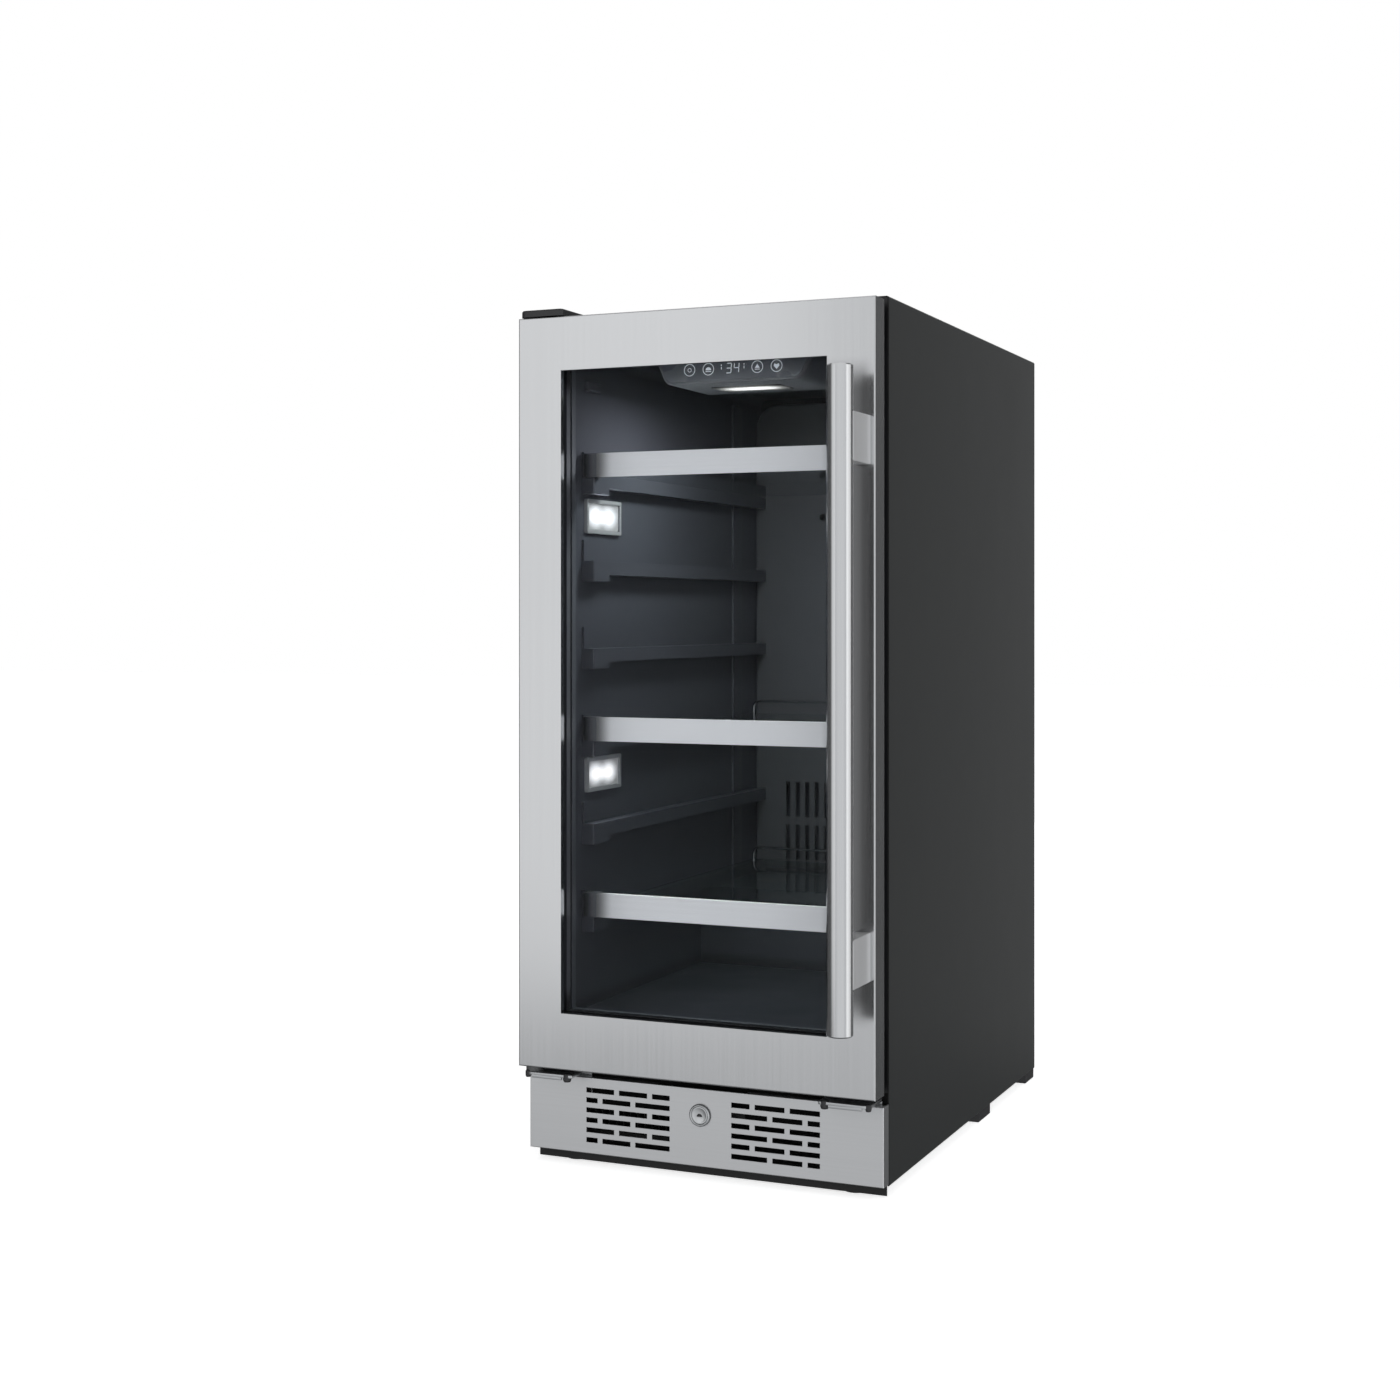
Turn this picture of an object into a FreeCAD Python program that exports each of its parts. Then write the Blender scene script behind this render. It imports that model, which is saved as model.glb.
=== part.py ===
# Undercounter refrigerator of the 15-inch class: a steel cabinet with a foamed liner, three glass
# shelves, a hinged glass door with a bar handle, and a machine compartment behind a kick plate.
# Millimetres. X to the right, Y to the rear, Z up; the origin is on the floor, in the middle of
# the footprint. Depths in the sheet that start with "to_" are measured back from the door's face.
import FreeCAD, Part
import math
import os

import Sketcher
from FreeCAD import Placement, Rotation, Vector

DIMENSIONS = {
    # overall
    "width": 378, "depth": 655.5, "cabinet_top": 858.4, "shell_bottom": 12, "sheet_steel": 1.0,
    "to_cabinet": 39.5, "seam": 0.2, "shell_bend": 2, "rear_inset": 2.4,
    # door
    "door_bottom": 101, "door_top": 853, "door_depth": 26, "door_skin": 1.2, "door_round": 1.5,
    "window_half": 141, "window_bottom": 157.5, "window_top": 799, "reveal": 7, "pane": 4,
    "pane_lap": 11.5, "pane_gap": 8, "spacer_show": 1, "top_clear": 4.5, "liner_back_face": 31,
    "frame_inset": 1.6,
    "gasket_half": 172, "gasket_bottom": 128, "gasket_top": 846, "gasket_wide": 16,
    "gasket_root": 3, "gasket_step": 4, "gasket_air": 0.3, "gasket_round": 2,
    # handle
    "handle_dia": 25, "handle_gap": 37.5, "handle_x": 171.9, "handle_bottom": 170.3,
    "handle_top": 783.8, "handle_chamfer": 1.2, "bracket_mid": 477, "bracket_offset": 241.5,
    "bracket_tall": 46, "bracket_wide": 16, "bracket_round": 1,
    # hinges
    "hinge_x": 177, "to_hinge": 13, "pin_dia": 8, "pin_air": 0.06, "bush_dia": 14, "bush_deep": 14,
    "bush_flange": 18, "bush_cap": 1, "hinge_plate": 3, "hinge_plate_low": 92.5, "to_hinge_front": 1.5,
    "hinge_plate_outer": 183, "hinge_plate_inner": 125, "hinge_lip": 2.5, "hinge_lip_low": 90.2,
    "hinge_tab": 2.5, "hinge_tab_low": 70, "hinge_corner": 8, "stud_dia": 7, "stud_x": 135,
    "stud_low": 84, "top_plate": 2.5, "top_plate_outer": 186, "top_plate_inner": 144,
    "to_top_plate": 4, "to_top_plate_end": 60, "cover_outer": 188, "cover_inner": 140,
    "to_cover": 0.5, "to_cover_end": 62, "cover_top": 864, "cover_wall": 1.2, "cover_round": 3,
    "cover_low": 854.3, "screw_dia": 4, "screw_head": 7.5, "head_tall": 1.7,
    # kick plate, lock and front rail
    "to_kick": 24.6, "kick_skin": 1.2, "kick_bottom": 13.7, "kick_top": 90, "kick_flange": 8,
    "kick_notch": 48, "kick_round": 0.8, "slot_low": 25, "slot_pitch": 10, "slot_tall": 5,
    "grille_inner": 33, "grille_outer": 125, "slot_gap": 5.4, "slot_long": 31, "slot_short": 12.6,
    "lock_z": 64.4,
    "lock_ring_dia": 22, "lock_stand": 3, "lock_face": 2.4, "lock_core_dia": 17,
    "lock_sleeve_dia": 20.6, "lock_sleeve": 8.5, "lock_air": 0.06, "lock_tail": 7,
    "tail_length": 4.3, "cam_thick": 2.5, "cam_gap": 0.15, "cam_long": 44, "cam_wide": 14,
    "key_wide": 5, "key_tall": 2.2, "key_deep": 4, "strike_left": 12, "strike_right": 30,
    "strike_low": 104, "strike_top": 119, "strike_deep": 7.3, "strike_air": 0.9,
    "strike_slot_top": 112, "strike_slot_left": 9, "rail_low": 60, "rail_top": 100.3,
    "rail_sheet": 1.5, "rail_flange": 14,
    # liner and foam
    "liner_half": 150, "liner_floor": 150, "liner_ceiling": 824, "to_liner_back": 565,
    "liner_wall": 1.5, "liner_round": 10, "flange_low": 100.5, "to_step": 370, "step_top": 236,
    "deck_low": 104, "deck_high": 204, "to_deck_step": 400, "foam_lap": 0.2,
    # shelf rails and shelves
    "first_level": 246.5, "level_pitch": 90, "rail_inner": 136, "rail_above": 4, "rail_below": 10,
    "to_rail": 64.2, "to_rail_end": 537.5, "rail_nose": 36, "nose_drop": 7, "post_thick": 2.6,
    "post_long": 6, "post_tall": 22, "shelf_glass": 4, "shelf_half": 146.5, "to_shelf": 60,
    "to_glass_end": 520, "trim_half": 131, "trim_tall": 24.5, "trim_drop": 0.5, "trim_sheet": 1.4,
    "trim_lower": 12.6, "trim_upper": 7.6, "trim_return": 4, "cap_outer": 146.9, "cap_deep": 15.5,
    "cap_proud": 0.5, "cap_air": 0.5, "cap_round": 3, "wire_dia": 3, "wire_half": 144,
    "wire_bend": 8, "wire_inset": 1.6,
    # air duct, evaporator and its fan
    "duct_half": 149.6, "duct_low": 238, "duct_top": 815, "to_duct": 538, "to_duct_end": 554.8,
    "duct_wall": 1.5,
    "duct_corner": 30, "duct_edge": 3, "vent_wide": 5.5, "vent_pitch": 12.5, "vent_low": 253.6,
    "vent_high": 306.6, "vent_tall": 43, "outlet_x": 43, "outlet_z": 701, "outlet_dia": 28,
    "port_x": 61, "port_z": 675, "port_dia": 8, "coil_half": 105, "coil_low": 370,
    "coil_pitch": 9, "fin_thick": 0.8, "to_coil": 543, "coil_deep": 18, "coil_tube": 8,
    "fan_z": 620, "to_fan": 543, "fan_dia": 90, "fan_hub": 26, "fan_deep": 12, "shaft_dia": 4,
    "shaft_air": 0.04, "blade_thick": 1.4, "blade_wide": 15, "motor_dia": 38, "motor_deep": 8,
    # controls and lights
    "pod_half_top": 90, "pod_half_low": 76, "pod_low": 792, "to_pod": 107.7, "pod_glass": 1.5,
    "pod_deep_top": 128, "pod_deep_low": 114, "pod_cavity_half": 66, "pod_cavity_deep": 100,
    "pod_floor": 4, "board_half": 60, "board_deep": 84, "board_thick": 1.6, "board_z": 812,
    "lamp_half": 38.5, "lamp_half_deep": 19, "to_lamp": 161, "lamp_proud": 1, "side_lamp_low": 372,
    "side_lamp_high": 639.5, "side_lamp_tall": 35.5, "to_side_lamp": 70, "side_lamp_long": 80,
    "bezel_rim": 4, "bezel_deep": 3.5, "side_lens_deep": 2.4, "cap_z": 791, "cap_tall": 10,
    "cap_thick": 5, "to_cap": 71, "cap_long": 30, "cap_edge": 2,
    # machine compartment
    "pan_low": 12.2, "pan_sheet": 1.5, "pan_wall": 16, "pan_lip_low": 2, "pan_lip_half": 186.5,
    "foot_x": 150, "to_foot": 57, "foot_dia": 26, "foot_tall": 9, "stem_dia": 8, "stem_top": 34,
    "stem_air": 0.06, "boss_dia": 16, "boss_tall": 8, "glide_wide": 21, "glide_long": 45,
    "to_mid_glide": 355, "rear_glide_long": 37, "glide_edge": 1, "louvre_long": 130,
    "louvre_tall": 5, "louvre_pitch": 14, "louvre_low": 70, "louvre_x": 92, "inlet_x": 130,
    "inlet_z": 42, "inlet_wide": 28, "inlet_tall": 20.4, "inlet_deep": 24, "socket_wide": 23,
    "socket_tall": 15.6, "socket_deep": 17, "prong_wide": 4, "prong_thick": 2, "prong_long": 12,
    "prong_space": 7, "prong_rise": 3.9, "pump_x": 78, "to_pump": 482, "pump_dia": 122, "pump_low": 30,
    "pump_tall": 158, "pump_round": 24, "seam_dia": 128, "seam_tall": 5, "seam_z": 128,
    "plate_long": 150, "plate_wide": 126, "plate_thick": 3, "mount_dia": 18, "mount_inset": 12,
    "cond_left": 170, "to_cond": 70, "cond_deep": 48, "cond_low": 24,
    "cond_tall": 74, "cond_pitch": 8, "cond_fan_x": 92, "cond_fan_z": 60, "to_cond_fan": 132,
    "cond_fan_dia": 70, "cond_blade": 12, "cond_motor_deep": 24, "arm_wide": 14, "arm_thick": 2,
    "motor_air": 1,
    "tray_left": 168, "tray_right": 30, "to_tray": 406, "tray_long": 165, "tray_tall": 30,
    "tray_wall": 2, "line_dia": 6.4, "line_bend": 9.6, "line_run": 27, "line_turn": 9,
    "line_out": 18, "cold_port_z": 136.8,
}

LEVELS = 6  # pairs of shelf rails
SHELF_LEVELS = (0, 2, 5)  # the rails that hold a shelf, counted from the bottom
SLOT_ROWS = 6
VENTS = 18
LOUVRES = 9
COIL_FINS = 21
COIL_RUNS = 6
CONDENSER_FINS = 19
CONDENSER_ROWS = 2
CONDENSER_COLUMNS = 3
BLADES = 7
BLADE_PITCH = 32  # degrees

document = FreeCAD.newDocument("undercounter_refrigerator")
sheet = document.addObject("Spreadsheet::Sheet", "dims")
for row, (alias, number) in enumerate(DIMENSIONS.items(), start=1):
    sheet.set(f"A{row}", alias)
    sheet.set(f"B{row}", str(number))
    sheet.setAlias(f"B{row}", alias)
document.recompute()

subparts = {}


class Size:
    """A length that carries both its number and the sheet expression that it comes from."""

    def __init__(self, number, text):
        self.number = number
        self.text = text

    def __add__(self, other):
        other = size(other)
        return Size(self.number + other.number, f"({self.text} + {other.text})")

    def __sub__(self, other):
        other = size(other)
        return Size(self.number - other.number, f"({self.text} - {other.text})")

    def __mul__(self, other):
        other = size(other)
        return Size(self.number * other.number, f"({self.text} * {other.text})")

    def __truediv__(self, other):
        other = size(other)
        return Size(self.number / other.number, f"({self.text} / {other.text})")

    def __radd__(self, other):
        return size(other) + self

    def __rsub__(self, other):
        return size(other) - self

    def __rmul__(self, other):
        return size(other) * self

    def __neg__(self):
        return Size(-self.number, f"(0 - {self.text})")


def size(value):
    """A Size stays as it is, and a plain number becomes one."""
    if isinstance(value, Size):
        return value
    return Size(float(value), f"({value})")


class Dimensions:
    """The sheet's cells as Sizes: d.width is the cell with the alias width."""

    def __getattr__(self, alias):
        return Size(float(sheet.get(alias)), f"dims.{alias}")


d = Dimensions()


# ---- helpers ------------------------------------------------------------------------------------


def keep(shape_object, label):
    """Register an object as the finished sub-part of that name."""
    shape_object.Label = label
    subparts[label] = shape_object
    return shape_object


def between(middle, half):
    """The span that reaches half to each side of a middle."""
    return (size(middle) - half, size(middle) + half)


def box(name, x, y, z):
    """A block between the low and high values given for each axis."""
    block = document.addObject("Part::Box", name)
    for side, axis, (low, high) in (("Length", "x", x), ("Width", "y", y), ("Height", "z", z)):
        block.setExpression(side, (size(high) - low).text)
        block.setExpression(f".Placement.Base.{axis}", size(low).text)
    return block


TURNS = {
    "x": Rotation(Vector(0, 1, 0), 90),
    "y": Rotation(Vector(1, 0, 0), -90),
    "z": Rotation(),
}


def cylinder(name, axis, centre, diameter, span):
    """A round bar along an axis; centre holds its place on the other two axes, in X, Y, Z order."""
    bar = document.addObject("Part::Cylinder", name)
    bar.Placement = Placement(Vector(), TURNS[axis])
    bar.setExpression("Radius", (size(diameter) / 2).text)
    bar.setExpression("Height", (size(span[1]) - span[0]).text)
    across = [letter for letter in "xyz" if letter != axis]
    for letter, place in zip(across, centre):
        bar.setExpression(f".Placement.Base.{letter}", size(place).text)
    bar.setExpression(f".Placement.Base.{axis}", size(span[0]).text)
    return bar


def fuse(name, shapes):
    """Join shapes; those that don't touch stay separate solids."""
    joined = document.addObject("Part::MultiFuse", name)
    joined.Shapes = list(shapes)
    return joined


def cut(name, base, tools):
    """Take one or more tools away from a base."""
    tools = list(tools)
    result = document.addObject("Part::Cut", name)
    result.Base = base
    result.Tool = tools[0] if len(tools) == 1 else fuse(f"{name}_tools", tools)
    return result


def rounded(name, base, radius, wanted):
    """Fillet the edges of a base that a test on their ends picks."""
    document.recompute()
    result = document.addObject("Part::Fillet", name)
    result.Base = base
    reach = size(radius).number
    picked = []
    for number, edge in enumerate(base.Shape.Edges, start=1):
        if len(edge.Vertexes) == 2 and wanted(edge.Vertexes[0].Point, edge.Vertexes[1].Point):
            picked.append((number, reach, reach))
    result.Edges = picked
    return result


def near(value, target):
    """Whether a coordinate is a dimension's, within a hundredth of a millimetre."""
    return abs(value - size(target).number) < 0.01


def along(start, end, axis):
    """Whether an edge runs along one axis."""
    moved = [abs(a - b) > 0.01 for a, b in zip(start, end)]
    return moved == [letter == axis for letter in "xyz"]


def new_body(name):
    """An empty body."""
    return document.addObject("PartDesign::Body", name)


def sketch_on(body, role, height):
    """A sketch on one of the body's own origin planes, lifted along the plane's normal."""
    plane = next(f for f in body.Origin.OriginFeatures if f.Role == role)
    sketch = body.newObject("Sketcher::SketchObject", f"{body.Name}_sketch")
    sketch.AttachmentSupport = [(plane, "")]
    sketch.MapMode = "FlatFace"
    sketch.setExpression(".AttachmentOffset.Base.z", size(height).text)
    return sketch


def outline(sketch, points):
    """A closed polygon whose corners are each held to their dimensions."""
    first = sketch.GeometryCount
    corners = [(size(a), size(b)) for a, b in points]
    vectors = [Vector(a.number, b.number, 0) for a, b in corners]
    for here, there in zip(vectors, vectors[1:] + vectors[:1]):
        sketch.addGeometry(Part.LineSegment(here, there))
    for n in range(len(corners)):
        after = first + (n + 1) % len(corners)
        sketch.addConstraint(Sketcher.Constraint("Coincident", first + n, 2, after, 1))
    for n, corner in enumerate(corners):
        for kind, place in zip(("DistanceX", "DistanceY"), corner):
            held = Sketcher.Constraint(kind, -1, 1, first + n, 1, place.number)
            number = sketch.addConstraint(held)
            sketch.setExpression(f"Constraints[{number}]", place.text)


def rectangle(sketch, across, up):
    """A rectangle as an outline."""
    (left, right), (low, high) = across, up
    outline(sketch, [(left, low), (right, low), (right, high), (left, high)])


def pad(body, sketch, length):
    """Pad a sketch along its normal."""
    feature = body.newObject("PartDesign::Pad", f"{body.Name}_pad")
    feature.Profile = sketch
    feature.setExpression("Length", size(length).text)
    body.Tip = feature
    return feature


def ring(body, outer, inner, y):
    """Pad a rectangular ring in the XZ plane from one depth to another; the first pad starts the
    body. outer and inner are (half width, low, high)."""
    sketch = sketch_on(body, "XZ_Plane", -size(y[1]))
    for half, low, high in (outer, inner):
        rectangle(sketch, (-size(half), half), (low, high))
    return pad(body, sketch, size(y[1]) - y[0])


def pipe(label, routes, diameter, bend):
    """Round tubes along straight runs joined by tangent arcs, one solid for each route."""
    radius = size(bend).number
    solids = []
    for route in routes:
        points = [Vector(*(size(c).number for c in point)) for point in route]
        edges = []
        start = points[0]
        for before, corner, after in zip(points, points[1:], points[2:]):
            back_way = (before - corner).normalize()
            ahead = (after - corner).normalize()
            half_angle = back_way.getAngle(ahead) / 2
            setback = radius / math.tan(half_angle)
            arc_end = corner + ahead * setback
            inward = (back_way + ahead).normalize()
            middle = corner + inward * (radius / math.sin(half_angle) - radius)
            edges.append(Part.LineSegment(start, corner + back_way * setback).toShape())
            edges.append(Part.Arc(corner + back_way * setback, middle, arc_end).toShape())
            start = arc_end
        edges.append(Part.LineSegment(start, points[-1]).toShape())
        rim = Part.makeCircle(size(diameter).number / 2, points[0], points[1] - points[0])
        solids.append(Part.Wire(edges).makePipeShell([Part.Wire(rim)], True, False))
    feature = document.addObject("Part::Feature", label)
    feature.Shape = Part.makeCompound(solids) if len(solids) > 1 else solids[0]
    feature.Placement = Placement()
    return keep(feature, label)


# ---- shared places ------------------------------------------------------------------------------

half = d.width / 2
back = d.depth / 2
panel = back - d.rear_inset  # the outer face of the back, inside the wrapper's rear edges
face = -back + d.handle_dia + d.handle_gap  # the door's front face
cabinet = face + d.to_cabinet  # the cabinet's front face
inner_half = half - d.sheet_steel - d.seam  # what fits between the cabinet's sides
pan_top = d.pan_low + d.pan_sheet
hinge_y = face + d.to_hinge
levels = [d.first_level + d.level_pitch * n for n in range(LEVELS)]


# ---- cabinet ------------------------------------------------------------------------------------


def make_outer_shell():
    """The wrapper: both sides and the top, folded from one sheet."""
    body = new_body("shell_body")
    sketch = sketch_on(body, "XZ_Plane", -back)
    inside = half - d.sheet_steel
    under = d.cabinet_top - d.sheet_steel
    low = d.shell_bottom
    outline(
        sketch,
        [
            (-half, low), (-half, d.cabinet_top), (half, d.cabinet_top), (half, low),
            (inside, low), (inside, under), (-inside, under), (-inside, low),
        ],
    )
    pad(body, sketch, back - cabinet)
    bent = rounded(
        "shell_bent",
        body,
        d.shell_bend,
        lambda a, b: along(a, b, "y") and near(a.z, d.cabinet_top),
    )
    return keep(cut("shell_drilled", bent, top_screw_holes("shell")), "outer_shell")


def make_rear_panel():
    """One folded sheet: the back, the step over the compressor and the deck under the foam."""
    body = new_body("rear_body")
    sketch = sketch_on(body, "YZ_Plane", -inner_half)
    front = cabinet + d.liner_wall + d.seam
    step = face + d.to_deck_step
    gauge = d.sheet_steel
    top = d.cabinet_top - d.sheet_steel - d.seam
    outline(
        sketch,
        [
            (front, d.deck_low), (step + gauge * 2, d.deck_low),
            (step + gauge * 2, d.deck_high), (panel, d.deck_high),
            (panel, top), (panel - gauge, top),
            (panel - gauge, d.deck_high + gauge), (step + gauge, d.deck_high + gauge),
            (step + gauge, d.deck_low + gauge), (front, d.deck_low + gauge),
        ],
    )
    pad(body, sketch, inner_half * 2)
    keep(body, "rear_panel")


def make_compressor_cover():
    """The louvred lower back, with a cut-out for the power inlet."""
    plate = box(
        "cover_plate",
        (-inner_half, inner_half),
        (panel - d.sheet_steel, panel),
        (d.pan_low + d.seam, d.deck_high - d.seam),
    )
    through = (panel - d.sheet_steel * 2, back)
    holes = [
        box(
            "inlet_hole",
            between(d.inlet_x, d.inlet_wide / 2 + d.seam),
            through,
            between(d.inlet_z, d.inlet_tall / 2 + d.seam),
        )
    ]
    for n in range(LOUVRES):
        low = d.louvre_low + d.louvre_pitch * n
        for side in (-1, 1):
            middle = d.louvre_x * side
            span = between(middle, d.louvre_long / 2)
            holes.append(box("louvre", span, through, (low, low + d.louvre_tall)))
    keep(cut("cover_cut", plate, holes), "compressor_cover")


def make_base_pan():
    """The floor of the machine compartment, with a front lip and threaded bosses for the feet."""
    front = cabinet + d.liner_wall + d.seam
    rear = panel - d.sheet_steel - d.seam
    pieces = [
        box("pan_plate", (-inner_half, inner_half), (front, rear), (d.pan_low, pan_top)),
        box(
            "pan_lip",
            (-d.pan_lip_half, d.pan_lip_half),
            (front, front + d.pan_sheet),
            (d.pan_lip_low, d.pan_low),
        ),
    ]
    for side in (-1, 1):
        wall = sorted((inner_half * side, (inner_half - d.pan_sheet) * side), key=number_of)
        pieces.append(box("pan_wall", wall, (front, rear), (pan_top, pan_top + d.pan_wall)))
        centre = (d.foot_x * side, face + d.to_foot)
        pieces.append(cylinder("boss", "z", centre, d.boss_dia, (pan_top, pan_top + d.boss_tall)))
    bore = d.stem_dia + d.stem_air * 2
    holes = [
        cylinder(
            "stem_hole",
            "z",
            (d.foot_x * side, face + d.to_foot),
            bore,
            (d.pan_low - d.pan_sheet, pan_top + d.boss_tall + d.pan_sheet),
        )
        for side in (-1, 1)
    ]
    keep(cut("pan_drilled", fuse("pan_folded", pieces), holes), "base_pan")


def number_of(value):
    """A Size's number, to sort by."""
    return value.number


def make_glides():
    """Four fixed skids under the sides, two midway and two at the back."""
    spans = [
        (face + d.to_mid_glide, face + d.to_mid_glide + d.glide_long),
        (back - d.rear_glide_long - d.seam, back - d.seam),
    ]
    skids = []
    for side in (-1, 1):
        wide = sorted((inner_half * side, (inner_half - d.glide_wide) * side), key=number_of)
        for span in spans:
            skid = box("skid", wide, span, (0, d.pan_low))
            skids.append(rounded("skid_round", skid, d.glide_edge, lambda a, b: near(a.z + b.z, 0)))
    keep(fuse("skids", skids), "rear_glides")


def make_leveling_feet():
    """Two screw feet at the front, each a pad on a threaded stem."""
    for name, side in (("left", -1), ("right", 1)):
        centre = (d.foot_x * side, face + d.to_foot)
        disc = cylinder(f"{name}_disc", "z", centre, d.foot_dia, (0, d.foot_tall))
        document.recompute()
        edged = document.addObject("Part::Chamfer", f"{name}_disc_edged")
        edged.Base = disc
        edge = d.glide_edge.number
        edged.Edges = [
            (n, edge, edge)
            for n, e in enumerate(disc.Shape.Edges, start=1)
            if len(e.Vertexes) == 1
        ]
        stem = cylinder(f"{name}_stem", "z", centre, d.stem_dia, (d.foot_tall, d.stem_top))
        keep(fuse(f"{name}_foot", [edged, stem]), f"{name}_leveling_foot")


def liner_block(name, grow):
    """The storage space as a solid, with the step over the compressor, grown on every side."""
    room = box(
        f"{name}_room",
        (-d.liner_half - grow, d.liner_half + grow),
        (cabinet - d.liner_wall, face + d.to_liner_back + grow),
        (d.liner_floor - grow, d.liner_ceiling + grow),
    )
    step = box(
        f"{name}_step",
        (-d.liner_half - grow * 2, d.liner_half + grow * 2),
        (face + d.to_step + grow, face + d.to_liner_back + grow * 3),
        (d.liner_floor - grow * 3, d.step_top - grow),
    )
    return cut(f"{name}_block", room, [step])


def make_liner():
    """The moulded inner box with its front flange."""
    room = rounded(
        "room_round",
        liner_block("room", size(0)),
        d.liner_round,
        lambda a, b: (near(a.z, d.liner_ceiling) or near(b.z, d.liner_ceiling))
        and not (near(a.y, cabinet - d.liner_wall) and near(b.y, cabinet - d.liner_wall)),
    )
    flange = box(
        "flange",
        (-inner_half, inner_half),
        (cabinet, cabinet + d.liner_wall),
        (d.flange_low, d.cabinet_top - d.sheet_steel - d.seam),
    )
    trimmed = cut(
        "liner_outer",
        liner_block("liner", d.liner_wall),
        [box("liner_front", (-half, half), (face, cabinet), (0, d.cabinet_top))],
    )
    keep(cut("liner_cut", fuse("liner_solid", [trimmed, flange]), [room]), "inner_liner")


def make_foam():
    """Foam between the liner, the wrapper and the deck."""
    block = box(
        "foam_block",
        (-inner_half + d.foam_lap, inner_half - d.foam_lap),
        (cabinet + d.liner_wall, panel - d.sheet_steel),
        (d.deck_low + d.sheet_steel, d.cabinet_top - d.sheet_steel - d.seam),
    )
    step = box(
        "foam_step",
        (-half, half),
        (face + d.to_deck_step + d.sheet_steel, back),
        (d.deck_low, d.deck_high + d.sheet_steel),
    )
    keep(
        cut("foam_cut", block, [step, liner_block("foam_liner", d.liner_wall)]),
        "foam_insulation",
    )


def make_front_rail():
    """The folded cross rail that carries the hinge brackets, under the liner's flange."""
    upright = box(
        "rail_upright",
        (-inner_half, inner_half),
        (cabinet, cabinet + d.rail_sheet),
        (d.rail_low, d.rail_top),
    )
    fold = box(
        "rail_fold",
        (-inner_half, inner_half),
        (cabinet + d.rail_sheet, cabinet + d.rail_sheet + d.rail_flange),
        (d.rail_top - d.rail_sheet, d.rail_top),
    )
    folded = fuse("rail", [upright, fold])
    keep(cut("rail_drilled", folded, bracket_screws("rail_hole")), "front_rail")


def grille_slots(side):
    """The three slots of each row of a grille; odd and even rows are staggered."""
    outer = d.grille_outer
    long_row = [
        (outer - d.slot_long, outer),
        (outer - d.slot_long * 2 - d.slot_gap, outer - d.slot_long - d.slot_gap),
        (d.grille_inner, outer - d.slot_long * 2 - d.slot_gap * 2),
    ]
    short_row = [
        (outer - d.slot_short, outer),
        (outer - d.slot_short - d.slot_gap - d.slot_long, outer - d.slot_short - d.slot_gap),
        (d.grille_inner, outer - d.slot_short - d.slot_gap * 2 - d.slot_long),
    ]
    through = (face + d.to_kick - d.kick_skin, face + d.to_kick + d.kick_skin * 2)
    slots = []
    for n in range(SLOT_ROWS):
        low = d.slot_low + d.slot_pitch * n
        for start, end in (short_row, long_row)[n % 2]:
            across = sorted((start * side, end * side), key=number_of)
            slots.append(box("grille_slot", across, through, (low, low + d.slot_tall)))
    return slots


def make_kick_plate():
    """The toe kick: a folded front with side returns, a broken top flange and two grilles."""
    front = face + d.to_kick
    behind = front + d.kick_skin
    pieces = [box("kick_front", (-half, half), (front, behind), (d.kick_bottom, d.kick_top))]
    for side in (-1, 1):
        edge = sorted((half * side, (half - d.kick_skin) * side), key=number_of)
        pieces.append(
            box("kick_side", edge, (behind, cabinet - d.seam), (d.kick_bottom, d.kick_top))
        )
        lip = sorted((half * side, d.kick_notch * side), key=number_of)
        pieces.append(
            box(
                "kick_lip",
                lip,
                (behind, behind + d.kick_flange),
                (d.kick_top - d.kick_skin, d.kick_top),
            )
        )
    folded = rounded(
        "kick_folded",
        fuse("kick_pieces", pieces),
        d.kick_round,
        lambda a, b: near(a.y, front) and near(b.y, front),
    )
    hole = cylinder(
        "kick_lock_hole",
        "y",
        (0, d.lock_z),
        d.lock_sleeve_dia + d.seam,
        (front - d.kick_skin, behind + d.kick_skin),
    )
    tools = [hole] + grille_slots(-1) + grille_slots(1)
    keep(cut("kick_cut", folded, tools), "kick_plate")


# ---- lock ---------------------------------------------------------------------------------------


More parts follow.
